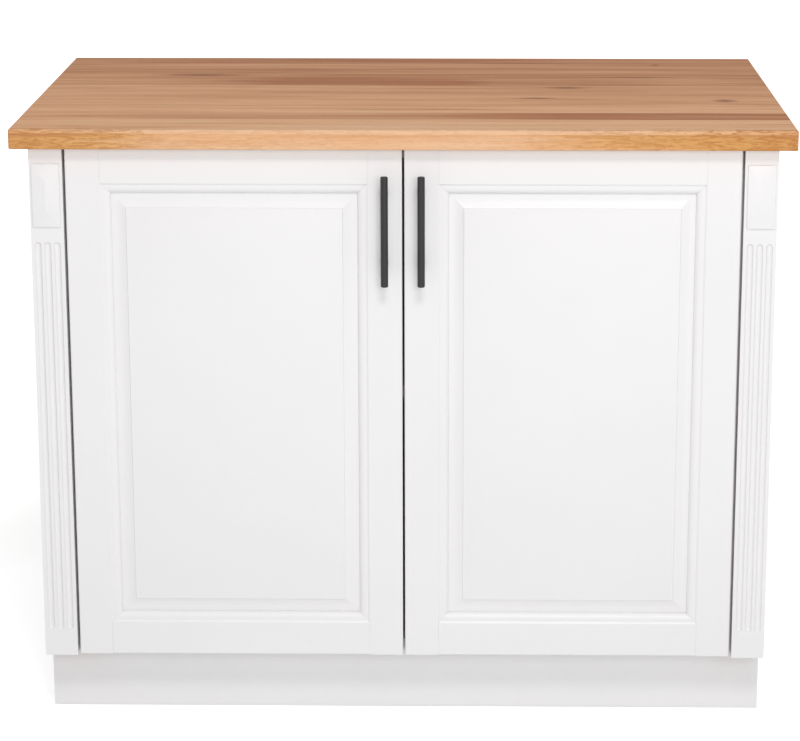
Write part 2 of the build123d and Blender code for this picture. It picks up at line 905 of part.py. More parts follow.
# Adjusting screws between each arm and its plate
with BuildPart() as hinge_adjusters:
    for side, level in sides_and_levels:
        pan_screws(
            [
                facing((side * (inner_x - arm_top), box_front_y - place, level), (-side, 0, 0))
                for place in adjuster_places
            ],
            adjuster_radius,
            arm_top - plate_base - screw_pocket,
            adjuster_head_radius,
            adjuster_head,
        )
save(hinge_adjusters, "hinge_adjusters")

# Links of the hinges
for name, side in SIDES.items():
    with BuildPart() as outer_links:
        for level in hinge_levels:
            with BuildSketch(hinge_plane(side, level)):
                bar(outer_cup_pivot, outer_elbow, link_width)
                bar(outer_elbow, outer_arm_pivot, link_width)
                with Locations(outer_cup_pivot, outer_arm_pivot):
                    Circle(link_eye_radius)
                    Circle(pin_hole_radius, mode=Mode.SUBTRACT)
            extrude(amount=outer_link_half, both=True)
    save(outer_links, f"outer_links_{name}")

    inner_run = Vector(*inner_cup_pivot) - Vector(*inner_arm_pivot)
    inner_turn = math.degrees(math.atan2(inner_run.Y, inner_run.X))
    with BuildPart() as inner_links:
        for level in hinge_levels:
            for start in (inner_link_start, -inner_link_end):
                with BuildSketch(hinge_plane(side, level).offset(start)):
                    bar(inner_elbow, inner_arm_pivot, link_width)
                    with Locations(Location(inner_cup_pivot, inner_turn + 90)):
                        SlotCenterToCenter(open_eye_travel, open_eye_width + 2 * open_eye_wall)
                    with Locations(inner_arm_pivot):
                        Circle(arm_eye_radius)
                        Circle(pin_hole_radius, mode=Mode.SUBTRACT)
                    with Locations(Location(inner_cup_pivot, inner_turn + 90)):
                        SlotCenterToCenter(open_eye_travel, open_eye_width, mode=Mode.SUBTRACT)
                extrude(amount=inner_link_wall)
            with BuildSketch(hinge_plane(side, level)):
                with Locations(inner_arm_pivot):
                    Circle(arm_eye_radius)
                    Circle(pin_hole_radius, mode=Mode.SUBTRACT)
            extrude(amount=inner_link_start, both=True)
    save(inner_links, f"inner_links_{name}")

# Doors
sticking_lip = panel_groove_front
groove_back = panel_groove_front + panel_groove_width


def frame_member(start, inward, length, width, set_back, bores=()):
    """
    One stile or rail, cut with the moulding and the groove that hold the panel.

    start is where the sight line meets the end of the piece, on the face of the door;
    inward points to the panel; set_back is how far from each end the moulding begins;
    bores are the places, radius and depth of each set of holes in the back.
    """
    with BuildPart() as member:
        with BuildSketch(Plane(origin=start, x_dir=inward, z_dir=inward.cross(BACKWARD))):
            with BuildLine():
                Polyline(
                    (-width + door_edge_ease, 0),
                    (0, 0),
                    (sticking_quirk, sticking_step),
                    (sticking_flat_end, sticking_step),
                )
                SagittaArc(
                    (sticking_flat_end, sticking_step),
                    (sticking_width, sticking_lip - 1),
                    -sticking_step,
                )
                Polyline(
                    (sticking_width, sticking_lip - 1),
                    (sticking_width, sticking_lip),
                    (sticking_width - panel_groove_depth, panel_groove_front),
                    (sticking_width - panel_groove_depth, groove_back),
                    (sticking_width - panel_lip_setback, groove_back),
                    (sticking_width - panel_lip_setback, door_thickness),
                    (-width + door_edge_ease, door_thickness),
                    (-width, door_thickness - door_edge_ease),
                    (-width, door_edge_ease),
                    (-width + door_edge_ease, 0),
                )
            make_face()
        extrude(amount=length)
        reach = sticking_width + 1
        with BuildSketch(Plane(origin=start, x_dir=inward, z_dir=-BACKWARD)):
            Polygon((0, 0), (reach, 0), (reach, set_back + reach), (0, set_back), align=None)
            Polygon(
                (0, length),
                (reach, length),
                (reach, length - set_back - reach),
                (0, length - set_back),
                align=None,
            )
        extrude(amount=-door_thickness, mode=Mode.SUBTRACT)
        for places, radius, depth in bores:
            drill(places, radius, depth)
    return member


for name, side in SIDES.items():
    near_x = side * meeting_x
    far_x = side * door_edge_x
    outward = Vector(side, 0, 0)
    sight_near = side * (meeting_x + stile_width)
    sight_far = side * (door_edge_x - stile_width)
    sight_left, sight_right = sorted((sight_near, sight_far))
    centre_x = (near_x + far_x) / 2
    centre_z = (door_bottom + door_top) / 2

    # Each stile starts where its run is along the plane's own normal
    near_end, far_end = (door_bottom, door_top) if side > 0 else (door_top, door_bottom)
    handle_posts = [
        facing((side * handle_x, door_face_y, handle_middle + half), (0, 1, 0))
        for half in (-handle_post_spacing / 2, handle_post_spacing / 2)
    ]
    handle_screw_places = [place.offset(door_thickness) for place in handle_posts]
    meeting_stile = frame_member(
        Vector(sight_near, door_face_y, near_end),
        outward,
        door_height,
        stile_width,
        rail_width,
        [(handle_screw_places, handle_screw_radius, door_thickness)],
    )
    save(meeting_stile, f"door_{name}_meeting_stile")

    cup_x = side * (gable_x - cup_u)
    cup_screw_x = side * (gable_x - cup_u - cup_screw_inset)
    cup_screw_places = [
        facing((cup_screw_x, door_back_y + cup_flange, level + half), (0, 1, 0))
        for level in hinge_levels
        for half in (-cup_screw_spread / 2, cup_screw_spread / 2)
    ]
    cup_places = [facing((cup_x, door_back_y, level), (0, 1, 0)) for level in hinge_levels]
    hinge_stile = frame_member(
        Vector(sight_far, door_face_y, far_end),
        -outward,
        door_height,
        stile_width,
        rail_width,
        [
            (cup_places, cup_radius, cup_depth + fit_gap),
            (cup_screw_places, panel_screw_radius, cup_screw_length + screw_pocket),
        ],
    )
    save(hinge_stile, f"door_{name}_hinge_stile")

    top_rail = frame_member(
        Vector(sight_left, door_face_y, door_top - rail_width),
        DOWN,
        sight_right - sight_left,
        rail_width,
        0,
    )
    save(top_rail, f"door_{name}_top_rail")

    bottom_rail = frame_member(
        Vector(sight_right, door_face_y, door_bottom + rail_width),
        UP,
        sight_right - sight_left,
        rail_width,
        0,
    )
    save(bottom_rail, f"door_{name}_bottom_rail")

    # Raised panel, which floats in the grooves of the frame
    sight_width = sight_right - sight_left
    sight_height = door_height - 2 * rail_width
    panel_edge = sticking_width - panel_groove_depth + panel_float
    tongue_face = panel_groove_front + fit_gap
    tongue_back = groove_back - fit_gap
    door_plane = Plane(origin=(centre_x, door_face_y, centre_z), x_dir=(1, 0, 0), z_dir=(0, -1, 0))
    with BuildPart() as panel:
        with BuildSketch(door_plane.offset(-tongue_back)):
            Rectangle(sight_width - 2 * panel_edge, sight_height - 2 * panel_edge)
        extrude(amount=tongue_back - tongue_face)
        for (low_inset, low_level), (high_inset, high_level) in (
            ((fielding_start, tongue_face), (fielding_end, fielding_depth)),
            ((fielding_end, fielding_depth), (fielding_end + fielding_step, bead_level)),
            ((bead_start, bead_level), (field_start, field_level)),
        ):
            with BuildSketch(door_plane.offset(-low_level)):
                Rectangle(sight_width - 2 * low_inset, sight_height - 2 * low_inset)
            with BuildSketch(door_plane.offset(-high_level)):
                Rectangle(sight_width - 2 * high_inset, sight_height - 2 * high_inset)
            loft(ruled=True)
    save(panel, f"door_{name}_panel")

    # Handle, an upright round bar on two posts
    with BuildPart() as handle:
        with Locations((side * handle_x, handle_axis_y, handle_middle)):
            Cylinder(handle_diameter / 2, handle_length)
        with Locations(*handle_posts):
            Cylinder(
                handle_post_diameter / 2,
                door_face_y - handle_axis_y,
                align=(Align.CENTER, Align.CENTER, Align.MAX),
            )
        drill(handle_posts, handle_screw_radius, handle_thread_depth + screw_pocket)
    save(handle, f"door_{name}_handle")

    with BuildPart() as handle_screws:
        pan_screws(
            handle_screw_places,
            handle_screw_radius,
            door_thickness + handle_thread_depth,
            handle_screw_head_radius,
            handle_screw_head,
        )
    save(handle_screws, f"door_{name}_handle_screws")

    # Hinge cups: a pressed shell with its flange, lugs and riveted pins
    with BuildPart() as hinge_cups:
        for level in hinge_levels:
            cup_plane = Plane(origin=(cup_x, door_back_y, level), x_dir=(-side, 0, 0), z_dir=(0, 1, 0))
            with BuildSketch(cup_plane):
                Circle(cup_radius)
            extrude(amount=-cup_depth)
            with BuildSketch(cup_plane):
                Circle(cup_radius + cup_wall)
                for half in (-cup_screw_spread / 2, cup_screw_spread / 2):
                    bar((cup_screw_inset, half), (0, math.copysign(ear_radius, half)), 2 * ear_radius)
            extrude(amount=cup_flange)
            drill(
                [facing((cup_x, door_back_y + cup_flange, level), (0, 1, 0))],
                cup_radius - cup_wall,
                cup_flange + cup_depth - cup_floor,
            )
            for start in (outer_link_half + link_gap, -lug_end):
                with BuildSketch(hinge_plane(side, level).offset(start)):
                    bar((lug_root, outer_cup_pivot[1]), outer_cup_pivot, 2 * arm_eye_radius)
                extrude(amount=lug_thickness)
            with BuildSketch(hinge_plane(side, level)):
                with Locations(outer_cup_pivot):
                    Circle(hinge_pin_radius)
            extrude(amount=lug_end, both=True)
            for start in (inner_link_start, -inner_pin_end):
                with BuildSketch(hinge_plane(side, level).offset(start)):
                    with Locations(inner_cup_pivot):
                        Circle(hinge_pin_radius)
                extrude(amount=inner_pin_end - inner_link_start)
        drill(cup_screw_places, panel_screw_radius, cup_flange)
    save(hinge_cups, f"door_{name}_hinge_cups")

    with BuildPart() as cup_screws:
        pan_screws(
            cup_screw_places,
            panel_screw_radius,
            cup_screw_length,
            panel_screw_head_radius,
            cup_screw_head,
        )
    save(cup_screws, f"door_{name}_cup_screws")
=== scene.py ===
"""Looks of a kitchen base cabinet: white painted doors, an oak worktop and black bar handles."""

import logging
import math
import random
from contextlib import contextmanager
from dataclasses import dataclass
from enum import Enum
from typing import Callable, Iterator, Sequence

import bmesh
import bpy
from mathutils import Matrix, Vector


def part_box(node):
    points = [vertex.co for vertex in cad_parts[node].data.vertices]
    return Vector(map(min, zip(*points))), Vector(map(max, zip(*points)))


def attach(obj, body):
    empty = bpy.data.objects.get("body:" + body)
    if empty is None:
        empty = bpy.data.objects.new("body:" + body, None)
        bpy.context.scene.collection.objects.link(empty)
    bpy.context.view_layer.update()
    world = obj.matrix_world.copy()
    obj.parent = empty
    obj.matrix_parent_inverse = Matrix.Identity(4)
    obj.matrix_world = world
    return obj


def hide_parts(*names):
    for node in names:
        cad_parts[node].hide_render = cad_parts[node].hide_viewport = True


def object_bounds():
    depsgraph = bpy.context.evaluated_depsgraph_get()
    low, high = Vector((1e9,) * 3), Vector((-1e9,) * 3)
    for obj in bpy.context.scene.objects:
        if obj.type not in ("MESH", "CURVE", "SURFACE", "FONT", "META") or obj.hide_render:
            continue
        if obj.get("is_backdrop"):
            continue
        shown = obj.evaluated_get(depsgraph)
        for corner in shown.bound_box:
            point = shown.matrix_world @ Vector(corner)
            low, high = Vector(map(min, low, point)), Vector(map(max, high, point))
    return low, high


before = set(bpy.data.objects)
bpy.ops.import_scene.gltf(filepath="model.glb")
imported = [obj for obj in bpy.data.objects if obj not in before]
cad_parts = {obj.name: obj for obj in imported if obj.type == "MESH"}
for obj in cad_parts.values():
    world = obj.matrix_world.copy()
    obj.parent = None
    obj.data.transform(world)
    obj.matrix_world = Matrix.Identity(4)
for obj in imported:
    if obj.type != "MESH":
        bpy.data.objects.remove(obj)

# Lengths are in metres, and angles in degrees
MM = 0.001
LOG = logging.getLogger("cabinet")
Place = tuple[float, float, float]
Colour = tuple[float, float, float]
Span = tuple[float, float]
Points = tuple[Span, ...]
Piece = bpy.types.Object
Outputs = bpy.types.NodeOutputs
Socket = bpy.types.NodeSocket
Number = float | Socket
Tint = Colour | Socket
Surface = tuple[Socket, Socket, Socket]
Layer = tuple[str, Span, float, Colour]

# Corners nearer than this are one corner
MERGE = 1e-6
# A face looks a way when this much of its normal points there
FACING = 0.9
# Faces that turn by less than this are one flat face
FLAT = 1.0
WHITE = (1.0, 1.0, 1.0, 1.0)
WHOLE = (0.0, 1.0)


class Side(Enum):
    """Side of the cabinet, as the names of its pieces and bodies give it."""

    LEFT = "left"
    RIGHT = "right"


class Arris(Enum):
    """How far an edge of a material is rounded, in metres."""

    PAINTED = 0.45 * MM
    BOARD = 0.3 * MM
    METAL = 0.2 * MM
    PLASTIC = 0.35 * MM
    BUMPER = 0.8 * MM


# Nodes of the finishes


@dataclass
class NodeSheet:
    """Adds nodes to one tree, in columns and rows, and joins their sockets."""

    tree: bpy.types.NodeTree
    count: int = 0
    rows: int = 5
    spacing: tuple[int, int] = (180, 160)
    mix_colours: tuple[int, int] = (6, 7)
    mix_result: int = 2
    frizz: float = 0.6

    def add(self, kind: str, inputs: dict | None = None, **settings: object) -> bpy.types.Node:
        """Adds a node.

        Args:
            kind: the node's type, without its ShaderNode prefix.
            inputs: sockets by name or number, each given a value or joined to an output.
            **settings: properties of the node itself.

        Returns:
            The node.
        """
        node = self.tree.nodes.new("ShaderNode" + kind)
        self.count += 1
        node.location = (self.count * self.spacing[0], -(self.count % self.rows) * self.spacing[1])
        for name, value in settings.items():
            setattr(node, name, value)
        for name, value in (inputs or {}).items():
            if isinstance(value, Socket):
                self.tree.links.new(value, node.inputs[name])
            else:
                node.inputs[name].default_value = value
        return node

    def math(self, operation: str, first: Number, second: Number = 0.0, third: Number = 0.0) -> Socket:
        """Joins up to three values with one arithmetic node and returns its output."""
        return self.add("Math", {0: first, 1: second, 2: third}, operation=operation).outputs[0]

    def plus(self, first: Number, second: Number) -> Socket:
        """Adds two values and returns the sum."""
        return self.math("ADD", first, second)

    def minus(self, first: Number, second: Number) -> Socket:
        """Takes the second value from the first and returns the difference."""
        return self.math("SUBTRACT", first, second)

    def times(self, first: Number, second: Number) -> Socket:
        """Multiplies two values and returns the product."""
        return self.math("MULTIPLY", first, second)

    def swell(self, value: Number, strength: Number, start: Number) -> Socket:
        """Returns the start, raised by the value times its strength."""
        return self.math("MULTIPLY_ADD", value, strength, start)

    def vector(self, operation: str, first: Socket, second: Place | Socket) -> Socket:
        """Joins two places axis by axis with one vector node and returns its output."""
        return self.add("VectorMath", {0: first, 1: second}, operation=operation).outputs[0]

    def length(self, place: Socket) -> Socket:
        """Returns how far a place is from the origin."""
        return self.add("VectorMath", {0: place}, operation="LENGTH").outputs["Value"]

    def axes(self, place: Socket) -> Outputs:
        """Returns a place's x, y and z."""
        return self.add("SeparateXYZ", {"Vector": place}).outputs

    def attribute(self, name: str) -> Socket:
        """Returns the value that an attribute of the mesh has."""
        return self.add("Attribute", attribute_name=name).outputs["Fac"]

    def noise(
        self,
        position: Socket,
        cells: Number | Place,
        detail: float = 3.0,
        shift: Number = 0.0,
    ) -> Socket:
        """Reads a cloudy pattern from 0 to 1.

        Args:
            position: where the pattern is read.
            cells: cells of the pattern in a metre, one number or one for each axis.
            detail: finer layers laid over the first.
            shift: another number reads another pattern.

        Returns:
            The value of the pattern.
        """
        if isinstance(cells, tuple):
            position, cells = self.vector("MULTIPLY", position, cells), 1.0
        inputs = {"Vector": position, "W": shift, "Scale": cells, "Detail": detail, "Roughness": self.frizz}
        return self.add("TexNoise", inputs, noise_dimensions="4D").outputs["Fac"]

    def spread(self, value: Socket, span: Span, start: float = 0.0, end: float = 1.0) -> Socket:
        """Stretches a span of a value over start to end, clamped, and returns it."""
        inputs = {"Value": value, "From Min": span[0], "From Max": span[1], "To Min": start, "To Max": end}
        return self.add("MapRange", inputs).outputs["Result"]

    def mix(self, share: Number, *colours: Tint) -> Socket:
        """Mixes two colours.

        Args:
            share: how much of the second colour shows, from 0 to 1.
            *colours: the two colours.

        Returns:
            The mixed colour.
        """
        inputs = {"Factor": share}
        for socket, colour in zip(self.mix_colours, colours):
            inputs[socket] = colour if isinstance(colour, Socket) else (*colour, 1.0)
        return self.add("Mix", inputs, data_type="RGBA").outputs[self.mix_result]

    def overlap(self, first: Socket, rise: Span, second: Socket, fall: Span) -> Socket:
        """Returns the product of two values, each stretched from its own span."""
        return self.times(self.spread(first, rise), self.spread(second, fall))

    def veil(self, base: Tint, shade: Tint, value: Socket, span: Span = WHOLE, share: float = 1.0) -> Socket:
        """Lays a shade over a colour.

        Args:
            base: the colour underneath.
            shade: the colour laid over it.
            value: what decides where it shows.
            span: it begins at the first value and is all there at the second.
            share: how much it covers there.

        Returns:
            The colour that shows.
        """
        return self.mix(self.spread(value, span, 0.0, share), base, shade)


def clean_sheet(owner: bpy.types.Material | bpy.types.World) -> NodeSheet:
    """Empties the nodes of a material or of the world.

    Args:
        owner: the material or the world.

    Returns:
        The sheet of its nodes.
    """
    owner.use_nodes = True
    owner.node_tree.nodes.clear()
    return NodeSheet(owner.node_tree)


class EffectGroup:
    """A shader node group, built once, whose inputs are places, given as None, and numbers."""

    name: str = ""
    inputs: dict[str, float | None] = {}

    def __init__(self) -> None:
        """Makes the group's sockets and fills it."""
        self.tree = bpy.data.node_groups.new(self.name, "ShaderNodeTree")
        for name, value in self.inputs.items():
            kind = "NodeSocketVector" if value is None else "NodeSocketFloat"
            socket = self.tree.interface.new_socket(name, in_out="INPUT", socket_type=kind)
            if value is not None:
                socket.default_value = value
        results = self.fill(NodeSheet(self.tree), self.tree.nodes.new("NodeGroupInput").outputs)
        for name in results:
            self.tree.interface.new_socket(name, in_out="OUTPUT", socket_type="NodeSocketFloat")
        end = self.tree.nodes.new("NodeGroupOutput")
        for name, result in results.items():
            self.tree.links.new(result, end.inputs[name])

    def fill(self, sheet: NodeSheet, given: Outputs) -> dict[str, Socket]:
        """Builds the nodes of the group and returns what each output takes."""
        raise NotImplementedError

    def place(self, sheet: NodeSheet, inputs: dict[str, Number | Place]) -> Outputs:
        """Puts the group into a material with its own values and returns its outputs."""
        return sheet.add("Group", inputs, node_tree=self.tree).outputs


class TimberGroup(EffectGroup):
    """Growth rings, fibres, pores and slow changes of tone in solid wood whose grain runs along x.

    A pattern has its cells in a metre along each axis, and its detail. The heart of a piece lies
    somewhere in a span across the grain, wanders by a reach, and does the same upwards.
    """

    name = "Timber"
    inputs = {"Position": None, "Piece": 0.0, "Ring width": 3.0 * MM}
    patterns: dict[str, tuple[Place, float]] = {
        "wander": ((2.2, 6.0, 6.0), 2.0),
        "ripple": ((16.0, 90.0, 90.0), 3.0),
        "fibres": ((5.0, 420.0, 420.0), 4.0),
        "pores": ((110.0, 1500.0, 1500.0), 1.0),
        "tone": ((2.0, 30.0, 30.0), 3.0),
        "streaks": ((3.2, 110.0, 110.0), 3.0),
        "licks": ((26.0, 60.0, 170.0), 3.0),
    }
    hearts: tuple[tuple[Span, float], ...] = (((-0.16, 0.16), 0.05), ((-0.22, -0.03), 0.07))
    shifts: float = 40.0
    ripple_rings: float = 3.0
    late_wood: Span = (0.15, 0.85)
    ring_fall: Span = (1.0, 0.9)
    pore_rim: Span = (0.6, 0.68)
    early_wood: Span = (0.5, 0.1)
    lick_count: float = 5.0
    licks_up: float = 90.0
    lick_rise: Span = (0.25, 0.85)
    lick_fall: Span = (1.0, 0.88)

    def fill(self, sheet: NodeSheet, given: Outputs) -> dict[str, Socket]:
        """Builds rings round a wandering heart, one heart for each piece of wood.

        Args:
            sheet: the group's nodes.
            given: the group's inputs.

        Returns:
            What each output takes.
        """
        dice = sheet.add("TexWhiteNoise", {"W": given["Piece"]}, noise_dimensions="1D").outputs["Color"]
        chance = sheet.axes(dice)
        shift = sheet.times(chance[2], self.shifts)
        read = {
            name: sheet.noise(given["Position"], cells, detail, shift)
            for name, (cells, detail) in self.patterns.items()
        }
        axes = sheet.axes(given["Position"])
        squares = []
        for axis, roll, (span, reach) in zip(axes[1:], chance, self.hearts):
            heart = sheet.spread(roll, WHOLE, *span)
            away = sheet.plus(sheet.minus(axis, heart), sheet.times(read["wander"], reach))
            squares.append(sheet.math("POWER", away, 2.0))
        radius = sheet.math("POWER", sheet.plus(*squares), 0.5)
        rings = sheet.math("DIVIDE", radius, given["Ring width"])
        year = sheet.math("FRACT", sheet.plus(rings, sheet.times(read["ripple"], self.ripple_rings)))
        level = sheet.times(axes[2], self.licks_up)
        lick = sheet.math("FRACT", sheet.swell(read["licks"], self.lick_count, level))
        return {
            "Rings": sheet.overlap(year, self.late_wood, year, self.ring_fall),
            "Fibres": read["fibres"],
            "Pores": sheet.overlap(read["pores"], self.pore_rim, year, self.early_wood),
            "Tone": read["tone"],
            "Streaks": read["streaks"],
            "Flame": sheet.overlap(lick, self.lick_rise, lick, self.lick_fall),
        }


class KnotGroup(EffectGroup):
    """One small knot or dark streak, drawn out along the grain."""

    name = "Knot"
    inputs = {"Position": None, "Middle": None, "Size": None}
    frays: Place = (45.0, 260.0, 260.0)
    fraying: float = 0.9
    rim: Span = (1.45, 0.6)

    def fill(self, sheet: NodeSheet, given: Outputs) -> dict[str, Socket]:
        """Builds a soft spot whose rim is frayed by a streaky pattern.

        Args:
            sheet: the group's nodes.
            given: the group's inputs.

        Returns:
            What each output takes.
        """
        away = sheet.vector("SUBTRACT", given["Position"], given["Middle"])
        distance = sheet.length(sheet.vector("DIVIDE", away, given["Size"]))
        frayed = sheet.noise(given["Position"], self.frays)
        return {"Knot": sheet.spread(sheet.swell(frayed, self.fraying, distance), self.rim)}


class SkinGroup(EffectGroup):
    """Fine skin of a finish: its grainy height, cloudy unevenness and marks from handling."""

    name = "Skin"
    inputs = {"Position": None, "Grain": 900.0, "Clouds": 6.0, "Marks": 30.0}
    mark_stretch: Place = (1.0, 1.0, 0.35)
    cloudy: Span = (0.3, 0.7)
    marked: Span = (0.55, 0.75)

    def fill(self, sheet: NodeSheet, given: Outputs) -> dict[str, Socket]:
        """Builds three patterns, each at its own scale.

        Args:
            sheet: the group's nodes.
            given: the group's inputs.

        Returns:
            What each output takes.
        """
        position = given["Position"]
        upright = sheet.vector("MULTIPLY", position, self.mark_stretch)
        return {
            "Height": sheet.noise(position, given["Grain"], detail=2.0),
            "Unevenness": sheet.spread(sheet.noise(position, given["Clouds"], detail=4.0), self.cloudy),
            "Marks": sheet.spread(sheet.noise(upright, given["Marks"], detail=5.0), self.marked),
        }


class DustAndShadeGroup(EffectGroup):
    """Dust and painted shade in hollows, greyer where little open sky reaches the surface."""

    name = "DustAndShade"
    inputs = {"Position": None, "Reach": 7.0 * MM}
    samples: int = 4
    hollow: Span = (0.9, 0.35)
    clouds: float = 25.0
    cloudy: Span = (0.2, 0.7)
    thinnest: float = 0.5

    def fill(self, sheet: NodeSheet, given: Outputs) -> dict[str, Socket]:
        """Builds the mask of dust and painted shade in the hollows, broken up by a cloudy pattern.

        Args:
            sheet: the group's nodes.
            given: the group's inputs.

        Returns:
            What each output takes.
        """
        # Painted shade: ambient occlusion greys the lacquer in hollows and corners, where shade falls, mixed
        # with dust
        sky = sheet.add("AmbientOcclusion", {"Distance": given["Reach"]}, samples=self.samples)
        clouds = sheet.noise(given["Position"], self.clouds, detail=4.0)
        hollow = sheet.spread(sky.outputs["AO"], self.hollow)
        return {"DustAndShade": sheet.times(hollow, sheet.spread(clouds, self.cloudy, self.thinnest))}


TIMBER = TimberGroup()
KNOT = KnotGroup()
SKIN = SkinGroup()
DUST_AND_SHADE = DustAndShadeGroup()


# Finishes


@dataclass(frozen=True)
class Finish:
    """A finish with its own Principled shader, whose grain is given as cells in a metre and a height."""

    slot: str
    colour: Colour
    roughness: float = 0.5
    metallic: float = 0.0
    grain: float = 900.0
    grain_height: float = 0.03 * MM
    unevenness: float = 0.03
    marks: float = 0.1
    settings: tuple[tuple[str, float], ...] = ()

    def build(self) -> bpy.types.Material:
        """Makes the material.

        Returns:
            The material, with its shader in it.
        """
        material = bpy.data.materials.new("finish_" + self.slot)
        sheet = clean_sheet(material)
        colour, roughness, height = self.dress(sheet, sheet.add("TexCoord").outputs["Object"])
        bump = sheet.add("Bump", {"Distance": self.grain_height, "Height": height}).outputs[0]
        inputs = {"Base Color": colour, "Roughness": roughness, "Normal": bump, "Metallic": self.metallic}
        shader = sheet.add("BsdfPrincipled", inputs | dict(self.settings))
        sheet.add("OutputMaterial", {"Surface": shader.outputs[0]})
        return material

    def dress(self, sheet: NodeSheet, position: Socket) -> Surface:
        """Builds the pattern of the finish.

        Args:
            sheet: the material's nodes.
            position: the place on the object.

        Returns:
            Its colour, its roughness and its height.
        """
        skin = SKIN.place(sheet, {"Position": position, "Grain": self.grain})
        colour = sheet.mix(skin["Unevenness"], self.colour, self.shade(1.0 - self.unevenness))
        return colour, sheet.swell(skin["Marks"], self.marks, self.roughness), skin["Height"]

    def shade(self, share: float) -> Colour:
        """Returns the colour of the finish, made darker or lighter."""
        return tuple(part * share for part in self.colour)


@dataclass(frozen=True)
class PaintFinish(Finish):
    """Sprayed lacquer, a little greyer in the mouldings, where dust lies together with painted shade."""

    dust: Colour = (0.62, 0.60, 0.59)
    dust_and_shade_reach: float = 7.0 * MM
    dust_and_shade_share: float = 0.35

    def dress(self, sheet: NodeSheet, position: Socket) -> Surface:
        """Adds dust and painted shade in the corners to the plain finish.

        Args:
            sheet: the material's nodes.
            position: the place on the object.

        Returns:
            Its colour, its roughness and its height.
        """
        colour, roughness, height = super().dress(sheet, position)
        # Dust and painted shade grey the mouldings where little open sky reaches
        hollows = DUST_AND_SHADE.place(sheet, {"Position": position, "Reach": self.dust_and_shade_reach})
        share = sheet.times(hollows["DustAndShade"], self.dust_and_shade_share)
        return sheet.mix(share, colour, self.dust), roughness, height


@dataclass(frozen=True)
class BoardFinish(Finish):
    """Melamine on chipboard, with the chips bare on the edges that have no band.

    The attribute bare says what shows: 0 the melamine, 0.5 the hardboard, 1 the chips.
    """

    chip: Colour = (0.60, 0.43, 0.25)
    dark_chip: Colour = (0.30, 0.18, 0.09)
    chips: float = 420.0
    chip_stretch: Place = (1.0, 1.0, 2.6)
    chip_tones: Span = (0.25, 0.95)
    crumbs: float = 1500.0
    crumb_rim: Span = (0.4, 0.7)
    crumb_share: float = 0.4
    hardboard: Colour = (0.34, 0.22, 0.13)
    dark_hardboard: Colour = (0.2448, 0.1584, 0.0936)
    fibres: float = 520.0
    fibre_tones: Span = (0.35, 0.7)
    is_bare: Span = (0.1, 0.4)
    is_chips: Span = (0.7, 0.9)
    bare_roughness: float = 0.4
    chip_relief: float = 3.0

    def dress(self, sheet: NodeSheet, position: Socket) -> Surface:
        """Adds the bare edges to the plain finish.

        Args:
            sheet: the material's nodes.
            position: the place on the object.

        Returns:
            Its colour, its roughness and its height.
        """
        colour, roughness, height = super().dress(sheet, position)
        bare = sheet.attribute("bare")
        stretched = sheet.vector("MULTIPLY", position, self.chip_stretch)
        cells = sheet.add("TexVoronoi", {"Vector": stretched, "Scale": self.chips}, voronoi_dimensions="3D")
        pick = sheet.add("SeparateColor", {"Color": cells.outputs["Color"]}).outputs[0]
        crumbs = sheet.noise(position, self.crumbs)
        chips = sheet.veil(self.chip, self.dark_chip, pick, self.chip_tones)
        chips = sheet.veil(chips, self.dark_chip, crumbs, self.crumb_rim, self.crumb_share)
        fibres = sheet.noise(position, self.fibres, detail=5.0)
        pulp = sheet.veil(self.hardboard, self.dark_hardboard, fibres, self.fibre_tones)
        share = sheet.spread(bare, self.is_bare)
        roughness = sheet.swell(share, self.bare_roughness, roughness)
        height = sheet.swell(sheet.times(share, pick), self.chip_relief, height)
        return sheet.mix(share, colour, sheet.veil(pulp, chips, bare, self.is_chips)), roughness, height


@dataclass(frozen=True)
class WoodFinish(Finish):
    """Solid wood, whose layers of the timber pattern each lay a shade over the last."""

    ring_width: float = 3.1 * MM
    layers: tuple[Layer, ...] = ()
    fibre_span: Span = (0.3, 0.7)
    smoother: float = 0.06
    rougher: float = 0.1

    def timber(self, sheet: NodeSheet, position: Socket, piece: Number) -> Outputs:
        """Reads the timber pattern of a numbered piece of wood and returns its outputs."""
        inputs = {"Position": position, "Piece": piece, "Ring width": self.ring_width}
        return TIMBER.place(sheet, inputs)

    def overlay(self, sheet: NodeSheet, timber: Outputs, base: Tint) -> Socket:
        """Lays every layer over the base colour.

        Args:
            sheet: the material's nodes.
            timber: outputs of the timber pattern.
            base: the base colour.

        Returns:
            The colour that shows.
        """
        for name, span, share, shade in self.layers:
            base = sheet.veil(base, shade, timber[name], span, share)
        return base

    def rub(self, sheet: NodeSheet, timber: Outputs) -> Socket:
        """Returns the roughness, which follows the fibres."""
        low, high = self.roughness - self.smoother, self.roughness + self.rougher
        return sheet.spread(timber["Fibres"], self.fibre_span, low, high)


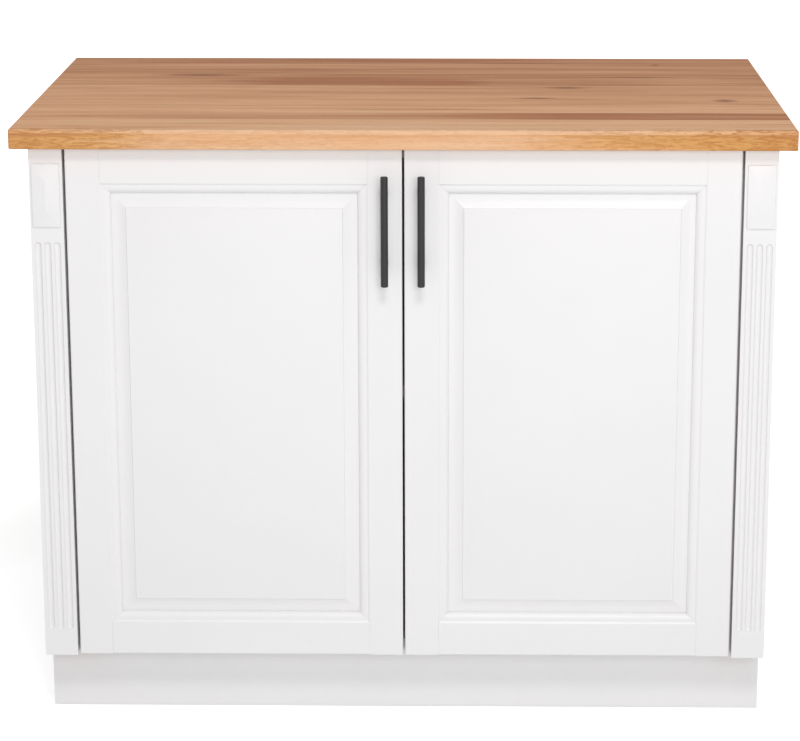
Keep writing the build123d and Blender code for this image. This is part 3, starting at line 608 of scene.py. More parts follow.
@dataclass(frozen=True)
class OakFinish(WoodFinish):
    """Oiled oak: each stave has its own heart and streaks, and its tone changes along it.

    The attributes stave, brown, honey, figure, seam and end say what each place of the slab is.
    Each knot has its middle and its size.
    """

    light: Colour = (0.88, 0.585, 0.37)
    honey: Colour = (0.74, 0.395, 0.13)
    brown: Colour = (0.46, 0.185, 0.088)
    amber: Colour = (0.50, 0.20, 0.055)
    dark: Colour = (0.26, 0.095, 0.042)
    middle: float = 0.5
    drift: float = 1.5
    streakiness: float = 1.3
    pale: Span = (0.05, -0.4)
    palest: float = 0.8
    flame_share: float = 0.6
    ring_share: float = 0.10
    end_rings: float = 0.45
    layers: tuple[Layer, ...] = (
        ("Streaks", (0.60, 0.74), 0.45, dark),
        ("Fibres", (0.40, 0.70), 0.16, brown),
        ("Pores", WHOLE, 0.35, dark),
    )
    knot_share: float = 0.8
    seam_share: float = 0.35
    knots: tuple[tuple[Place, Place], ...] = (
        ((-0.310, 0.152, 0.847), (0.085, 0.016, 0.02)),
        ((0.229, 0.038, 0.847), (0.038, 0.014, 0.02)),
        ((0.372, 0.257, 0.847), (0.010, 0.010, 0.02)),
        ((0.448, -0.073, 0.847), (0.022, 0.017, 0.02)),
        ((0.182, -0.055, 0.847), (0.038, 0.010, 0.02)),
        ((0.332, 0.135, 0.847), (0.085, 0.008, 0.02)),
    )

    def dress(self, sheet: NodeSheet, position: Socket) -> Surface:
        """Lays tone, figure, rings, streaks, fibres, pores, knots and glue lines over each other.

        Args:
            sheet: the material's nodes.
            position: the place on the object.

        Returns:
            Its colour, its roughness and its height.
        """
        names = ("stave", "brown", "honey", "figure", "seam", "end")
        stave, brown, honey, figure, seam, end = map(sheet.attribute, names)
        timber = self.timber(sheet, position, stave)
        drift = sheet.times(sheet.minus(timber["Tone"], self.middle), self.drift)
        streak = sheet.times(sheet.minus(timber["Streaks"], self.middle), self.streakiness)
        tone = sheet.plus(brown, sheet.plus(drift, streak))
        base = sheet.mix(honey, self.colour, self.honey)
        # Low tones pale towards light: pale streaks of the wood, and the painted highlight along the
        # worktop's front arris
        base = sheet.veil(base, self.light, tone, self.pale, self.palest)
        base = sheet.veil(base, self.brown, tone)
        flame = sheet.times(timber["Flame"], sheet.times(figure, self.flame_share))
        base = sheet.mix(flame, base, self.amber)
        rings = sheet.times(timber["Rings"], sheet.swell(end, self.end_rings, self.ring_share))
        base = self.overlay(sheet, timber, sheet.mix(rings, base, self.brown))
        for middle, size in self.knots:
            spot = KNOT.place(sheet, {"Position": position, "Middle": middle, "Size": size})
            base = sheet.mix(sheet.times(spot["Knot"], self.knot_share), base, self.dark)
        base = sheet.mix(sheet.times(seam, self.seam_share), base, self.dark)
        return base, self.rub(sheet, timber), sheet.minus(timber["Fibres"], timber["Pores"])


@dataclass(frozen=True)
class PineFinish(WoodFinish):
    """Planed softwood posts, whose grain stands upright."""

    late_wood: Colour = (0.52, 0.27, 0.10)
    ring_width: float = 4.5 * MM
    smoother: float = 0.05
    piece: float = 3.0
    layers: tuple[Layer, ...] = (
        ("Rings", WHOLE, 0.7, late_wood),
        ("Fibres", (0.35, 0.7), 0.3, late_wood),
        ("Streaks", (0.60, 0.72), 0.5, late_wood),
    )

    def dress(self, sheet: NodeSheet, position: Socket) -> Surface:
        """Turns the grain upright and colours its rings.

        Args:
            sheet: the material's nodes.
            position: the place on the object.

        Returns:
            Its colour, its roughness and its height.
        """
        turn = (0.0, math.pi / 2, 0.0)
        upright = sheet.add("Mapping", {"Vector": position, "Rotation": turn}).outputs[0]
        timber = self.timber(sheet, upright, self.piece)
        return self.overlay(sheet, timber, self.colour), self.rub(sheet, timber), timber["Fibres"]


@dataclass(frozen=True)
class PlatedFinish(Finish):
    """Plated metal: cloudy zinc or brushed nickel, duller and darker where it is handled."""

    brushed: float = 0.0
    scratches: Place = (260.0, 2600.0, 260.0)
    scratch_span: Span = (0.5, 0.75)
    scratch_shade: float = 0.6
    scratch_roughness: float = 0.16

    def dress(self, sheet: NodeSheet, position: Socket) -> Surface:
        """Adds fine scratches to the plain finish.

        Args:
            sheet: the material's nodes.
            position: the place on the object.

        Returns:
            Its colour, its roughness and its height.
        """
        colour, roughness, height = super().dress(sheet, position)
        scratches = sheet.noise(position, self.scratches, detail=2.0)
        shade = self.shade(self.scratch_shade)
        colour = sheet.veil(colour, shade, scratches, self.scratch_span, self.brushed)
        roughness = sheet.swell(scratches, self.scratch_roughness * self.brushed, roughness)
        return colour, roughness, sheet.swell(scratches, self.brushed, height)


FINISHES: tuple[Finish, ...] = (
    PaintFinish(
        "white_paint", (0.865, 0.855, 0.86), 0.36, grain=650.0, grain_height=0.02 * MM, unevenness=0.02
    ),
    BoardFinish(
        "white_board", (0.84, 0.84, 0.84), 0.45, grain=2600.0, grain_height=0.04 * MM, unevenness=0.02
    ),
    OakFinish(
        "oak", (0.85, 0.485, 0.275), 0.68, grain_height=0.08 * MM, settings=(("Specular IOR Level", 0.1),)
    ),
    PineFinish("softwood", (0.74, 0.53, 0.31), 0.6, grain_height=0.06 * MM),
    PlatedFinish(
        "zinc", (0.60, 0.62, 0.65), 0.36, 1.0, grain=1600.0, unevenness=0.25, marks=0.2, brushed=0.2
    ),
    PlatedFinish(
        "nickel", (0.70, 0.68, 0.65), 0.20, 1.0, grain=500.0, unevenness=0.1, marks=0.12, brushed=0.5
    ),
    Finish(
        "black_coat",
        (0.017, 0.0155, 0.016),
        0.42,
        grain=2400.0,
        grain_height=0.05 * MM,
        unevenness=0.3,
        settings=(("Specular IOR Level", 0.4),),
    ),
    Finish(
        "black_plastic", (0.028, 0.028, 0.029), 0.52, grain=2800.0, grain_height=0.06 * MM, unevenness=0.3
    ),
    Finish(
        "clear_rubber", (0.86, 0.87, 0.86), 0.3, settings=(("Transmission Weight", 0.7), ("IOR", 1.48))
    ),
)
MATERIALS: dict[str, bpy.types.Material] = {finish.slot: finish.build() for finish in FINISHES}


# Modelling


def let_go() -> None:
    """Deselects every object."""
    bpy.ops.object.select_all(action="DESELECT")


def take(*pieces: Piece) -> None:
    """Selects these pieces alone and makes the first active."""
    let_go()
    for piece in pieces:
        piece.select_set(True)
    bpy.context.view_layer.objects.active = pieces[0]


@contextmanager
def edit(piece: Piece, mode: str = "FACE") -> Iterator[bmesh.types.BMesh]:
    """Opens a piece in edit mode with nothing selected.

    Args:
        piece: the piece to shape.
        mode: what is selected, VERT, EDGE or FACE.

    Yields:
        Its edit mesh, to select by.
    """
    take(piece)
    bpy.ops.object.mode_set(mode="EDIT")
    bpy.ops.mesh.select_mode(type=mode)
    bpy.ops.mesh.select_all(action="DESELECT")
    yield bmesh.from_edit_mesh(piece.data)
    bpy.ops.object.mode_set(mode="OBJECT")


def choose_faces(piece: Piece, test: Callable[[Vector, Vector], bool]) -> None:
    """Selects the faces that pass a test, and no others.

    Args:
        piece: the piece being edited.
        test: tells from a face's middle and normal whether it is one of them.
    """
    mesh = bmesh.from_edit_mesh(piece.data)
    bpy.ops.mesh.select_all(action="DESELECT")
    for face in mesh.faces:
        face.select_set(test(face.calc_center_median(), face.normal))
    mesh.select_flush_mode()
    bmesh.update_edit_mesh(piece.data)


def choose_rim(piece: Piece) -> None:
    """Selects the open rim of a piece, in edge mode.

    Args:
        piece: the piece being edited.
    """
    bpy.ops.mesh.select_mode(type="EDGE")
    mesh = bmesh.from_edit_mesh(piece.data)
    bpy.ops.mesh.select_all(action="DESELECT")
    for edge in mesh.edges:
        edge.select_set(edge.is_boundary)
    bmesh.update_edit_mesh(piece.data)


def merge_corners() -> None:
    """Selects all of the piece being edited and merges corners that lie on each other."""
    bpy.ops.mesh.select_all(action="SELECT")
    bpy.ops.mesh.remove_doubles(threshold=MERGE)


def turn_outwards() -> None:
    """Turns every face of the piece being edited outwards."""
    bpy.ops.mesh.select_all(action="SELECT")
    bpy.ops.mesh.normals_make_consistent(inside=False)


def push(x: float = 0.0, y: float = 0.0, z: float = 0.0) -> None:
    """Extrudes what is selected by a distance along each axis."""
    bpy.ops.mesh.extrude_region_move(TRANSFORM_OT_translate={"value": (x, y, z)})


def lift(z: float) -> None:
    """Moves what is selected up."""
    bpy.ops.transform.translate(value=(0.0, 0.0, z))


def widen(share: float) -> None:
    """Scales what is selected along x and y, about its middle."""
    bpy.ops.transform.resize(value=(share, share, 1.0))


def named(name: str) -> Piece:
    """Names the piece just added and applies its place.

    Args:
        name: the name of the piece and of its mesh.

    Returns:
        The piece.
    """
    bpy.ops.object.transform_apply(location=True, rotation=True, scale=True)
    piece = bpy.context.object
    piece.name = piece.data.name = name
    return piece


def start_box(name: str, low: Sequence[float], high: Sequence[float]) -> Piece:
    """Adds a box between two corners.

    Args:
        name: the piece's name.
        low: the lowest corner.
        high: the highest corner.

    Returns:
        The box.
    """
    let_go()
    low, high = Vector(low), Vector(high)
    bpy.ops.mesh.primitive_cube_add(size=1.0, location=(low + high) / 2, scale=high - low)
    return named(name)


def start_rod(name: str, start: Place, end: Place, radius: float, sides: int) -> Piece:
    """Adds a round rod between two points.

    Args:
        name: the piece's name.
        start: middle of one end.
        end: middle of the other end.
        radius: its radius.
        sides: flat faces round it.

    Returns:
        The rod.
    """
    let_go()
    start, end = Vector(start), Vector(end)
    turn = (end - start).to_track_quat("Z", "Y").to_euler()
    depth, middle = (end - start).length, (start + end) / 2
    bpy.ops.mesh.primitive_cylinder_add(
        vertices=sides, radius=radius, depth=depth, location=middle, rotation=turn
    )
    return named(name)


def join(name: str, pieces: list[Piece]) -> Piece:
    """Joins pieces into the first one.

    Args:
        name: the joined piece's name.
        pieces: what to join.

    Returns:
        The joined piece.
    """
    take(*pieces)
    if len(pieces) > 1:
        bpy.ops.object.join()
    pieces[0].name = pieces[0].data.name = name
    return pieces[0]


def put_in(name: str, data: bpy.types.ID) -> Piece:
    """Puts a mesh, a lamp or a camera into the scene.

    Args:
        name: the object's name.
        data: the mesh, the lamp or the camera.

    Returns:
        Its object.
    """
    piece = bpy.data.objects.new(name, data)
    bpy.context.scene.collection.objects.link(piece)
    return piece


def copy_to(piece: Piece, name: str, place: Matrix) -> Piece:
    """Copies a piece with its own mesh and moves that mesh to a place.

    Args:
        piece: what to copy.
        name: the copy's name.
        place: the move, applied to the mesh.

    Returns:
        The copy.
    """
    copy = put_in(name, piece.data.copy())
    copy.data.name = name
    copy.data.transform(place)
    return copy


def put_away(piece: Piece) -> None:
    """Removes a pattern piece once its copies are made."""
    bpy.data.meshes.remove(piece.data)


def copy_node(name: str, node: str) -> Piece:
    """Copies a CAD node as closed shells of flat faces.

    Args:
        name: the new piece's name.
        node: the CAD node.

    Returns:
        The new piece.
    """
    piece = copy_to(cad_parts[node], name, Matrix.Identity(4))
    with edit(piece):
        bpy.ops.mesh.customdata_custom_splitnormals_clear()
        merge_corners()
        bpy.ops.mesh.dissolve_limited(angle_limit=math.radians(FLAT))
    return piece


def modify(piece: Piece, kind: str, **settings: object) -> None:
    """Shapes a piece by a modifier and applies it.

    Args:
        piece: the piece.
        kind: the modifier's type.
        **settings: properties of the modifier.
    """
    take(piece)
    modifier = piece.modifiers.new(kind, kind)
    for name, value in settings.items():
        setattr(modifier, name, value)
    bpy.ops.object.modifier_apply(modifier=modifier.name)


def soften(piece: Piece, arris: float, segments: int = 3, angle: float = 28.0) -> None:
    """Rounds the sharp edges of a piece.

    Args:
        piece: the piece.
        arris: width of the rounding in metres.
        segments: steps of the rounding.
        angle: edges sharper than this many degrees are rounded.
    """
    take(piece)
    bpy.ops.object.shade_smooth()
    limit = {"limit_method": "ANGLE", "angle_limit": math.radians(angle)}
    modify(piece, "BEVEL", width=arris, segments=segments, harden_normals=True, **limit)


def smooth(piece: Piece, angle: float) -> None:
    """Shades a piece smooth except over edges sharper than an angle in degrees."""
    take(piece)
    bpy.ops.object.shade_smooth_by_angle(angle=math.radians(angle))


def write_values(piece: Piece, name: str, domain: str, values: Sequence[float]) -> None:
    """Gives each face or each corner of a piece its value of a new attribute."""
    layer = piece.data.attributes.new(name, "FLOAT", domain)
    layer.data.foreach_set("value", [float(value) for value in values])


def place_piece(piece: Piece, body: str, slot: str, node: str) -> Piece:
    """Gives a piece its finish, its body and the node that it stands for.

    Args:
        piece: the piece.
        body: the CAD body that it moves with.
        slot: its material slot.
        node: the CAD node that it replaces.

    Returns:
        The piece.
    """
    piece.data.materials.clear()
    piece.data.materials.append(MATERIALS[slot])
    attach(piece, body)
    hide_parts(node)
    LOG.info("piece %s rides on %s, finished in %s", piece.name, body, slot)
    return piece


def soft_copy(node: str, body: str, slot: str, arris: Arris) -> Piece:
    """Replaces a CAD node by its own shape with softened edges.

    Args:
        node: the CAD node.
        body: the CAD body that it moves with.
        slot: its material slot.
        arris: how far its edges are rounded.

    Returns:
        The piece.
    """
    piece = copy_node(node + "_eased", node)
    soften(piece, arris.value)
    return place_piece(piece, body, slot, node)


def between(points: Points, place: float) -> float:
    """Reads a value off the straight lines from point to point.

    Args:
        points: places in rising order, each with its value.
        place: where the value is read.

    Returns:
        The value there, or that of the nearest end.
    """
    for (before, start), (after, end) in zip(points, points[1:]):
        if place <= after:
            return start + (end - start) * max(0.0, (place - before) / (after - before))
    return points[-1][1]


def solids_of(node: str) -> list[list[Vector]]:
    """Finds the separate solids of a CAD node.

    Args:
        node: the CAD node.

    Returns:
        The corner points of each solid.
    """
    mesh = bmesh.new()
    mesh.from_mesh(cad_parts[node].data)
    bmesh.ops.remove_doubles(mesh, verts=mesh.verts, dist=MERGE)
    left = set(mesh.verts)
    solids = []
    for first in mesh.verts:
        if first not in left:
            continue
        left.remove(first)
        reached = [first]
        for vertex in reached:
            for edge in vertex.link_edges:
                other = edge.other_vert(vertex)
                if other in left:
                    left.remove(other)
                    reached.append(other)
        solids.append([vertex.co.copy() for vertex in reached])
    mesh.free()
    return solids


# Pieces


@dataclass(frozen=True)
class Stave:
    """One full-length stave of the worktop: its back edge and how brown it is along its length."""

    back: float
    tones: Points


@dataclass
class Worktop:
    """Oak worktop of full-length staves glued side by side, whose front edge has tones of its own.

    The edge's bands go down from the top, the palest along its top arris being a painted highlight, and its
    colours fade out over the strip behind it.
    """

    node: str = "worktop"
    rounding: float = 2.0 * MM
    rounding_steps: int = 4
    sharp: float = 40.0
    glue_line: float = 0.4 * MM
    pitch: float = 26.0 * MM
    end_grain: float = 0.7
    # The staves grow browner towards the back of the top: wood tone together with painted shade, as less
    # light falls on the back
    staves: tuple[Stave, ...] = (
        Stave(-0.279, ((-0.5, -0.15), (0.0, -0.22), (0.5, -0.12))),
        Stave(-0.231, ((-0.5, -0.08), (-0.1, -0.10), (0.3, -0.14))),
        Stave(-0.178, ((-0.5, 0.20), (-0.2, 0.30), (0.05, 0.40), (0.22, 1.0), (0.52, 0.85))),
        Stave(-0.122, ((-0.5, 0.18), (-0.1, 0.05), (0.5, 0.12))),
        Stave(-0.072, ((-0.5, 0.28), (-0.2, 0.12), (0.0, 0.22), (0.5, 0.25))),
        Stave(-0.022, ((-0.5, 0.15), (0.0, 0.30), (0.5, 0.25))),
        Stave(0.017, ((-0.5, 0.20), (-0.35, 0.10), (0.0, 0.28), (0.3, 0.35))),
        Stave(0.056, ((-0.45, 0.15), (-0.2, 0.05), (0.05, 0.20), (0.3, 0.42))),
        Stave(
            0.119,
            ((-0.4, 0.38), (-0.28, 0.6), (-0.18, 1.0), (0.06, 0.95), (0.13, 0.55), (0.26, 0.75), (0.4, 0.5)),
        ),
        Stave(0.163, ((-0.5, 0.45), (-0.1, 0.75), (0.15, 0.60), (0.5, 0.60))),
        Stave(0.215, ((-0.5, 0.50), (-0.1, 0.62), (0.3, 0.55), (0.5, 0.60))),
        Stave(0.266, ((-0.5, 0.38), (0.0, 0.50), (0.4, 0.52))),
        Stave(0.325, ((-0.5, 0.62), (-0.2, 0.85), (0.1, 0.80), (0.5, 0.62))),
    )
    edge_honey: Points = ((-0.40, 0.95), (-0.32, 0.30), (0.12, 0.08), (0.28, 0.80), (0.42, 1.0))
    edge_figure: Points = (
        (-0.50, 1.3), (-0.38, 1.0), (-0.30, 0.35), (0.12, 0.25), (0.28, 0.8), (0.45, 1.5)
    )
    edge_brown: Points = (
        (-0.52, 0.32), (-0.42, 0.0), (-0.33, -0.12), (0.12, -0.12), (0.28, -0.05), (0.52, 0.42)
    )
    # The first band, pale, is a painted highlight along the top arris of the front edge
    edge_bands_and_highlight: Points = ((4.0 * MM, -0.45), (6.5 * MM, 0.30), (13.0 * MM, -0.05), (28.0 * MM, 0.0))
    # Down to this depth the top arris has less honey, part of its painted highlight
    arris: float = 4.4 * MM
    arris_highlight_honey: float = 0.45
    strip: float = 14.0 * MM
    reach_at_top: float = 1.1
    reach_below: float = 0.5

    def build(self) -> None:
        """Models the slab, rounds its edges and marks its staves."""
        low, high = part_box(self.node)
        slab = start_box("worktop_staves", low, high)
        with edit(slab):
            for stave in self.staves[:-1]:
                for side in (-0.5, 0.5):
                    self.cut(y=stave.back + side * self.glue_line)
            for drop, _ in self.edge_bands_and_highlight[:-1]:
                self.cut(z=high.z - drop)
            self.cut(y=low.y + self.strip)
            for step in range(1, round((high.x - low.x) / self.pitch)):
                self.cut(x=low.x + step * self.pitch)
        soften(slab, self.rounding, self.rounding_steps, self.sharp)
        self.mark(slab, low.y, high.z)
        place_piece(slab, "carcass", "oak", self.node)

    def cut(self, **level: float) -> None:
        """Scores a line all round the slab, where x, y or z has the level given."""
        bpy.ops.mesh.select_all(action="SELECT")
        place = [level.get(axis, 0.0) for axis in "xyz"]
        bpy.ops.mesh.bisect(plane_co=place, plane_no=[float(axis in level) for axis in "xyz"])

    def mark(self, slab: Piece, front: float, top: float) -> None:
        """Writes what each face and corner of the slab is, for its finish to read.

        Args:
            slab: the finished slab.
            front: y of its front edge.
            top: level of its upper face.
        """
        faces = slab.data.polygons
        seams = [stave.back for stave in self.staves[:-1]]
        from_seam = [min(abs(face.center.y - seam) for seam in seams) for face in faces]
        write_values(slab, "stave", "FACE", [1.0 + self.row(face.center.y) for face in faces])
        write_values(slab, "seam", "FACE", [distance < self.glue_line / 2 for distance in from_seam])
        write_values(slab, "end", "FACE", [abs(face.normal.x) > self.end_grain for face in faces])
        tones = [self.tone(vertex.co, front, top) for vertex in slab.data.vertices]
        for name, values in zip(("brown", "honey", "figure"), zip(*tones)):
            write_values(slab, name, "POINT", values)

    def tone(self, place: Vector, front: float, top: float) -> tuple[float, float, float]:
        """Works out the tone of a place on the slab.

        Args:
            place: the place.
            front: y of the front edge.
            top: level of the upper face.

        Returns:
            How brown it is, how honey-coloured, and how strong its figure.
        """
        drop = top - place.z
        reach = self.reach_at_top if drop < self.rounding / 2 else self.reach_below
        if place.y >= front + self.rounding * reach:
            return between(self.staves[self.row(place.y)].tones, place.x), 0.0, 0.0
        brown = between(self.edge_brown, place.x) + between(self.edge_bands_and_highlight, drop)
        # Less honey on the arris pales the painted highlight there
        honey = between(self.edge_honey, place.x) * (self.arris_highlight_honey if drop < self.arris else 1.0)
        return brown, honey, between(self.edge_figure, place.x)

    def row(self, y: float) -> int:
        """Returns the number of the stave at y."""
        return sum(y > stave.back for stave in self.staves[:-1])


@dataclass
class Door:
    """A framed door with its raised panel and its bar handle.

    A handle's post ends behind the bar's axis, by a share of the bar's radius.
    """

    side: Side
    members: tuple[str, ...] = ("hinge_stile", "meeting_stile", "top_rail", "bottom_rail", "panel")
    bar_rounding: float = 1.4 * MM
    bar_steps: int = 4
    bar_faces: int = 48
    post_radius: float = 3.8 * MM
    post_faces: int = 32
    post_end: float = 0.4
    post_from_middle: float = 48.0 * MM
    collar: float = 1.2 * MM
    collar_radius: float = 4.4 * MM
    collar_rounding: float = 0.3 * MM
    collar_steps: int = 2
    sharp: float = 40.0
    crease: float = 35.0

    def build(self) -> None:
        """Builds the frame, the panel and the handle."""
        body = "door_" + self.side.value
        for member in self.members:
            soft_copy(f"{body}_{member}", body, "white_paint", Arris.PAINTED)
        self.build_handle(body)

    def build_handle(self, body: str) -> None:
        """Models the round bar with eased ends, and its two posts with collars.

        Args:
            body: the door's body, whose name its nodes begin with.
        """
        low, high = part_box(body + "_handle")
        radius = (high.x - low.x) / 2
        axis = Vector(((low.x + high.x) / 2, low.y + radius, (low.z + high.z) / 2))
        ends = [(axis.x, axis.y, level) for level in (low.z, high.z)]
        bar = start_rod(body + "_bar", *ends, radius, self.bar_faces)
        soften(bar, self.bar_rounding, self.bar_steps, self.sharp)
        pieces = [bar]
        for half in (-self.post_from_middle, self.post_from_middle):
            seat, sunk, rim = (
                (axis.x, y, axis.z + half)
                for y in (high.y, axis.y + radius * self.post_end, high.y - self.collar)
            )
            post = start_rod(body + "_post", seat, sunk, self.post_radius, self.post_faces)
            with edit(post):
                choose_faces(post, lambda middle, normal: normal.y > FACING)
                push(y=-self.collar)
            collar = start_rod(body + "_collar", seat, rim, self.collar_radius, self.post_faces)
            soften(collar, self.collar_rounding, self.collar_steps, self.sharp)
            pieces += [post, collar]
        handle = join(body + "_bar_handle", pieces)
        smooth(handle, self.crease)
        place_piece(handle, body, "black_coat", body + "_handle")


@dataclass
class Facade:
    """Painted boards and ornament round the doors."""

    boards: tuple[str, ...] = (
        *(f"end_panel_{side.value}" for side in Side),
        "plinth_front",
        *(f"{name}_{side.value}" for name in ("plinth_side", "pilaster", "pilaster_block") for side in Side),
    )

    def build(self) -> None:
        """Eases the edges of each painted piece."""
        for board in self.boards:
            soft_copy(board, "carcass", "white_paint", Arris.PAINTED)


@dataclass
class Carcass:
    """The box of faced boards, the shelf and the softwood posts.

    Each board has what its bare faces show, 1 for chips and 0.5 for hardboard, and where they look.
    """

    boards: tuple[tuple[str, float, tuple[Place, ...]], ...] = (
        ("gable_left", 1.0, ((0, 1, 0), (0, 0, -1))),
        ("gable_right", 1.0, ((0, 1, 0), (0, 0, -1))),
        ("base_panel", 1.0, ((0, 1, 0),)),
        ("front_rail", 1.0, ((0, 1, 0),)),
        ("rear_rail", 1.0, ((0, 0, -1),)),
        ("shelf", 1.0, ((0, 1, 0),)),
        ("back_panel", 0.5, ((0, 1, 0),)),
    )
    posts: tuple[str, ...] = ("front_fillers", "rear_fillers")

    def build(self) -> None:
        """Eases every board and bares the edges that have no band."""
        for node, core, ways in self.boards:
            board = soft_copy(node, "carcass", "white_board", Arris.BOARD)
            bare = [
                core * any(face.normal.dot(Vector(way)) > FACING for way in ways)
                for face in board.data.polygons
            ]
            write_values(board, "bare", "FACE", bare)
        for node in self.posts:
            soft_copy(node, "carcass", "softwood", Arris.BOARD)


@dataclass(frozen=True)
class Screws:
    """The cross-headed screws of one node, each a copy of one pattern that points down.

    The head's face, wall and reach, the cross, the recess's foot and the tip's width are shares of
    what they belong to. The other sizes are lengths.
    """

    node: str
    body: str
    slot: str
    shank: float
    head_radius: float
    head: float
    sunk: bool = False
    head_face: float = 0.8
    head_wall: float = 0.45
    head_rim: float = 0.3 * MM
    head_reach: float = 0.9
    cells: int = 5
    cross: float = 1.2
    recess: float = 1.1 * MM
    recess_foot: float = 0.7
    tip: float = 1.5 * MM
    tip_width: float = 0.35
    pattern_length: float = 40.0 * MM
    crease: float = 30.0

    def build(self) -> None:
        """Models one screw and copies it to each place of the node."""
        pattern = self.model()
        chance = random.Random(len(self.node))
        copies = []
        for points in solids_of(self.node):
            place, length = self.find(points)
            turn = Matrix.Rotation(chance.uniform(0.0, math.pi), 4, "Z")
            screw = copy_to(pattern, self.node + "_copy", turn)
            for vertex in screw.data.vertices:
                if vertex.co.z < -self.pattern_length / 2:
                    vertex.co.z += self.pattern_length - length
            screw.data.transform(place)
            copies.append(screw)
        put_away(pattern)
        group = join(self.node + "_cross", copies)
        smooth(group, self.crease)
        place_piece(group, self.body, self.slot, self.node)

    def find(self, points: list[Vector]) -> tuple[Matrix, float]:
        """Finds how a screw of the node stands, with its head at the wider end.

        Args:
            points: the corner points of its solid.

        Returns:
            The place of the top of its head, pointing out, and its length.
        """
        low = Vector(map(min, *points))
        high = Vector(map(max, *points))
        axis = max(range(3), key=lambda number: (high - low)[number])
        middle = (low + high) / 2
        widths = []
        for end in (low, high):
            reach = self.head * self.head_reach
            aside = [point - middle for point in points if abs(point[axis] - end[axis]) < reach]
            for way in aside:
                way[axis] = 0.0
            widths.append(max((way.length for way in aside), default=0.0))
        sign = 1 if widths[1] > widths[0] else -1
        outward = Vector(sign * float(number == axis) for number in range(3))
        seat = middle.copy()
        seat[axis] = (high if sign > 0 else low)[axis]
        place = Matrix.Translation(seat) @ outward.to_track_quat("Z", "Y").to_matrix().to_4x4()
        return place, (high - low)[axis]

    def model(self) -> Piece:
        """Models a screw pointing down, with its cross recess.

        Returns:
            The screw.
        """
        let_go()
        face = 2 * self.head_radius * self.head_face
        arm = face / self.cells * self.cross
        bpy.ops.mesh.primitive_grid_add(x_subdivisions=self.cells, y_subdivisions=self.cells, size=face)
        screw = named("screw_pattern")
        with edit(screw):
            choose_rim(screw)
            bpy.ops.transform.tosphere(value=1.0)
            corners = bmesh.from_edit_mesh(screw.data).verts
            rim = max(corner.co.xy.length for corner in corners if corner.is_boundary)
            edge = self.head_radius / rim
            bpy.ops.mesh.select_mode(type="FACE")
            choose_faces(screw, lambda middle, normal: abs(middle.x) + abs(middle.y) < arm)
            push(z=-self.recess)
            widen(self.recess_foot)
            choose_rim(screw)
            if self.sunk:
                push()
                widen(edge)
                push(z=-self.head_rim)
                push(z=self.head_rim - self.head)
            else:
                push(z=-self.head * self.head_wall)
                widen(edge)
                push(z=-self.head * (1.0 - self.head_wall))
                push()
            widen(self.shank / self.head_radius)
            push(z=self.head + self.tip - self.pattern_length)
            push(z=-self.tip)
            widen(self.tip_width)
            bpy.ops.mesh.edge_face_add()
            turn_outwards()
        return screw


@dataclass
class Fittings:
    """Hinges, links, pins, brackets, clips, bumpers and screws."""

    plated: tuple[tuple[str, str, str], ...] = (
        ("hinge_plates", "carcass", "nickel"),
        ("hinge_arms", "carcass", "nickel"),
        ("hinge_arm_pins", "carcass", "nickel"),
        *((f"outer_links_{side.value}", f"outer_link_{side.value}", "nickel") for side in Side),
        *((f"inner_links_{side.value}", f"inner_link_{side.value}", "nickel") for side in Side),
        *((f"door_{side.value}_hinge_cups", f"door_{side.value}", "nickel") for side in Side),
        ("shelf_pins", "carcass", "zinc"),
        ("worktop_brackets", "carcass", "zinc"),
    )
    screws: tuple[Screws, ...] = (
        Screws("carcass_screws", "carcass", "zinc", 2.5 * MM, 5.0 * MM, 3.5 * MM, True),
        Screws("filler_screws", "carcass", "zinc", 2.0 * MM, 4.0 * MM, 2.2 * MM, True),
        Screws("worktop_screws", "carcass", "zinc", 2.0 * MM, 5.0 * MM, 2.2 * MM),
        Screws("panel_screws", "carcass", "zinc", 1.75 * MM, 3.5 * MM, 2.2 * MM),
        Screws("hinge_adjusters", "carcass", "nickel", 2.0 * MM, 3.5 * MM, 1.6 * MM),
        *(
            Screws(f"door_{side.value}_{kind}_screws", "door_" + side.value, "zinc", shank, radius, head)
            for kind, shank, radius, head in (
                ("cup", 1.75 * MM, 3.5 * MM, 1.4 * MM),
                ("handle", 2.0 * MM, 4.0 * MM, 2.2 * MM),
            )
            for side in Side
        ),
    )

    def build(self) -> None:
        """Eases the pressed metal and plastic, and models the screws."""
        for node, body, slot in self.plated:
            soft_copy(node, body, slot, Arris.METAL)
        soft_copy("plinth_clips", "carcass", "black_plastic", Arris.PLASTIC)
        soft_copy("door_bumpers", "carcass", "clear_rubber", Arris.BUMPER)
        for screws in self.screws:
            screws.build()


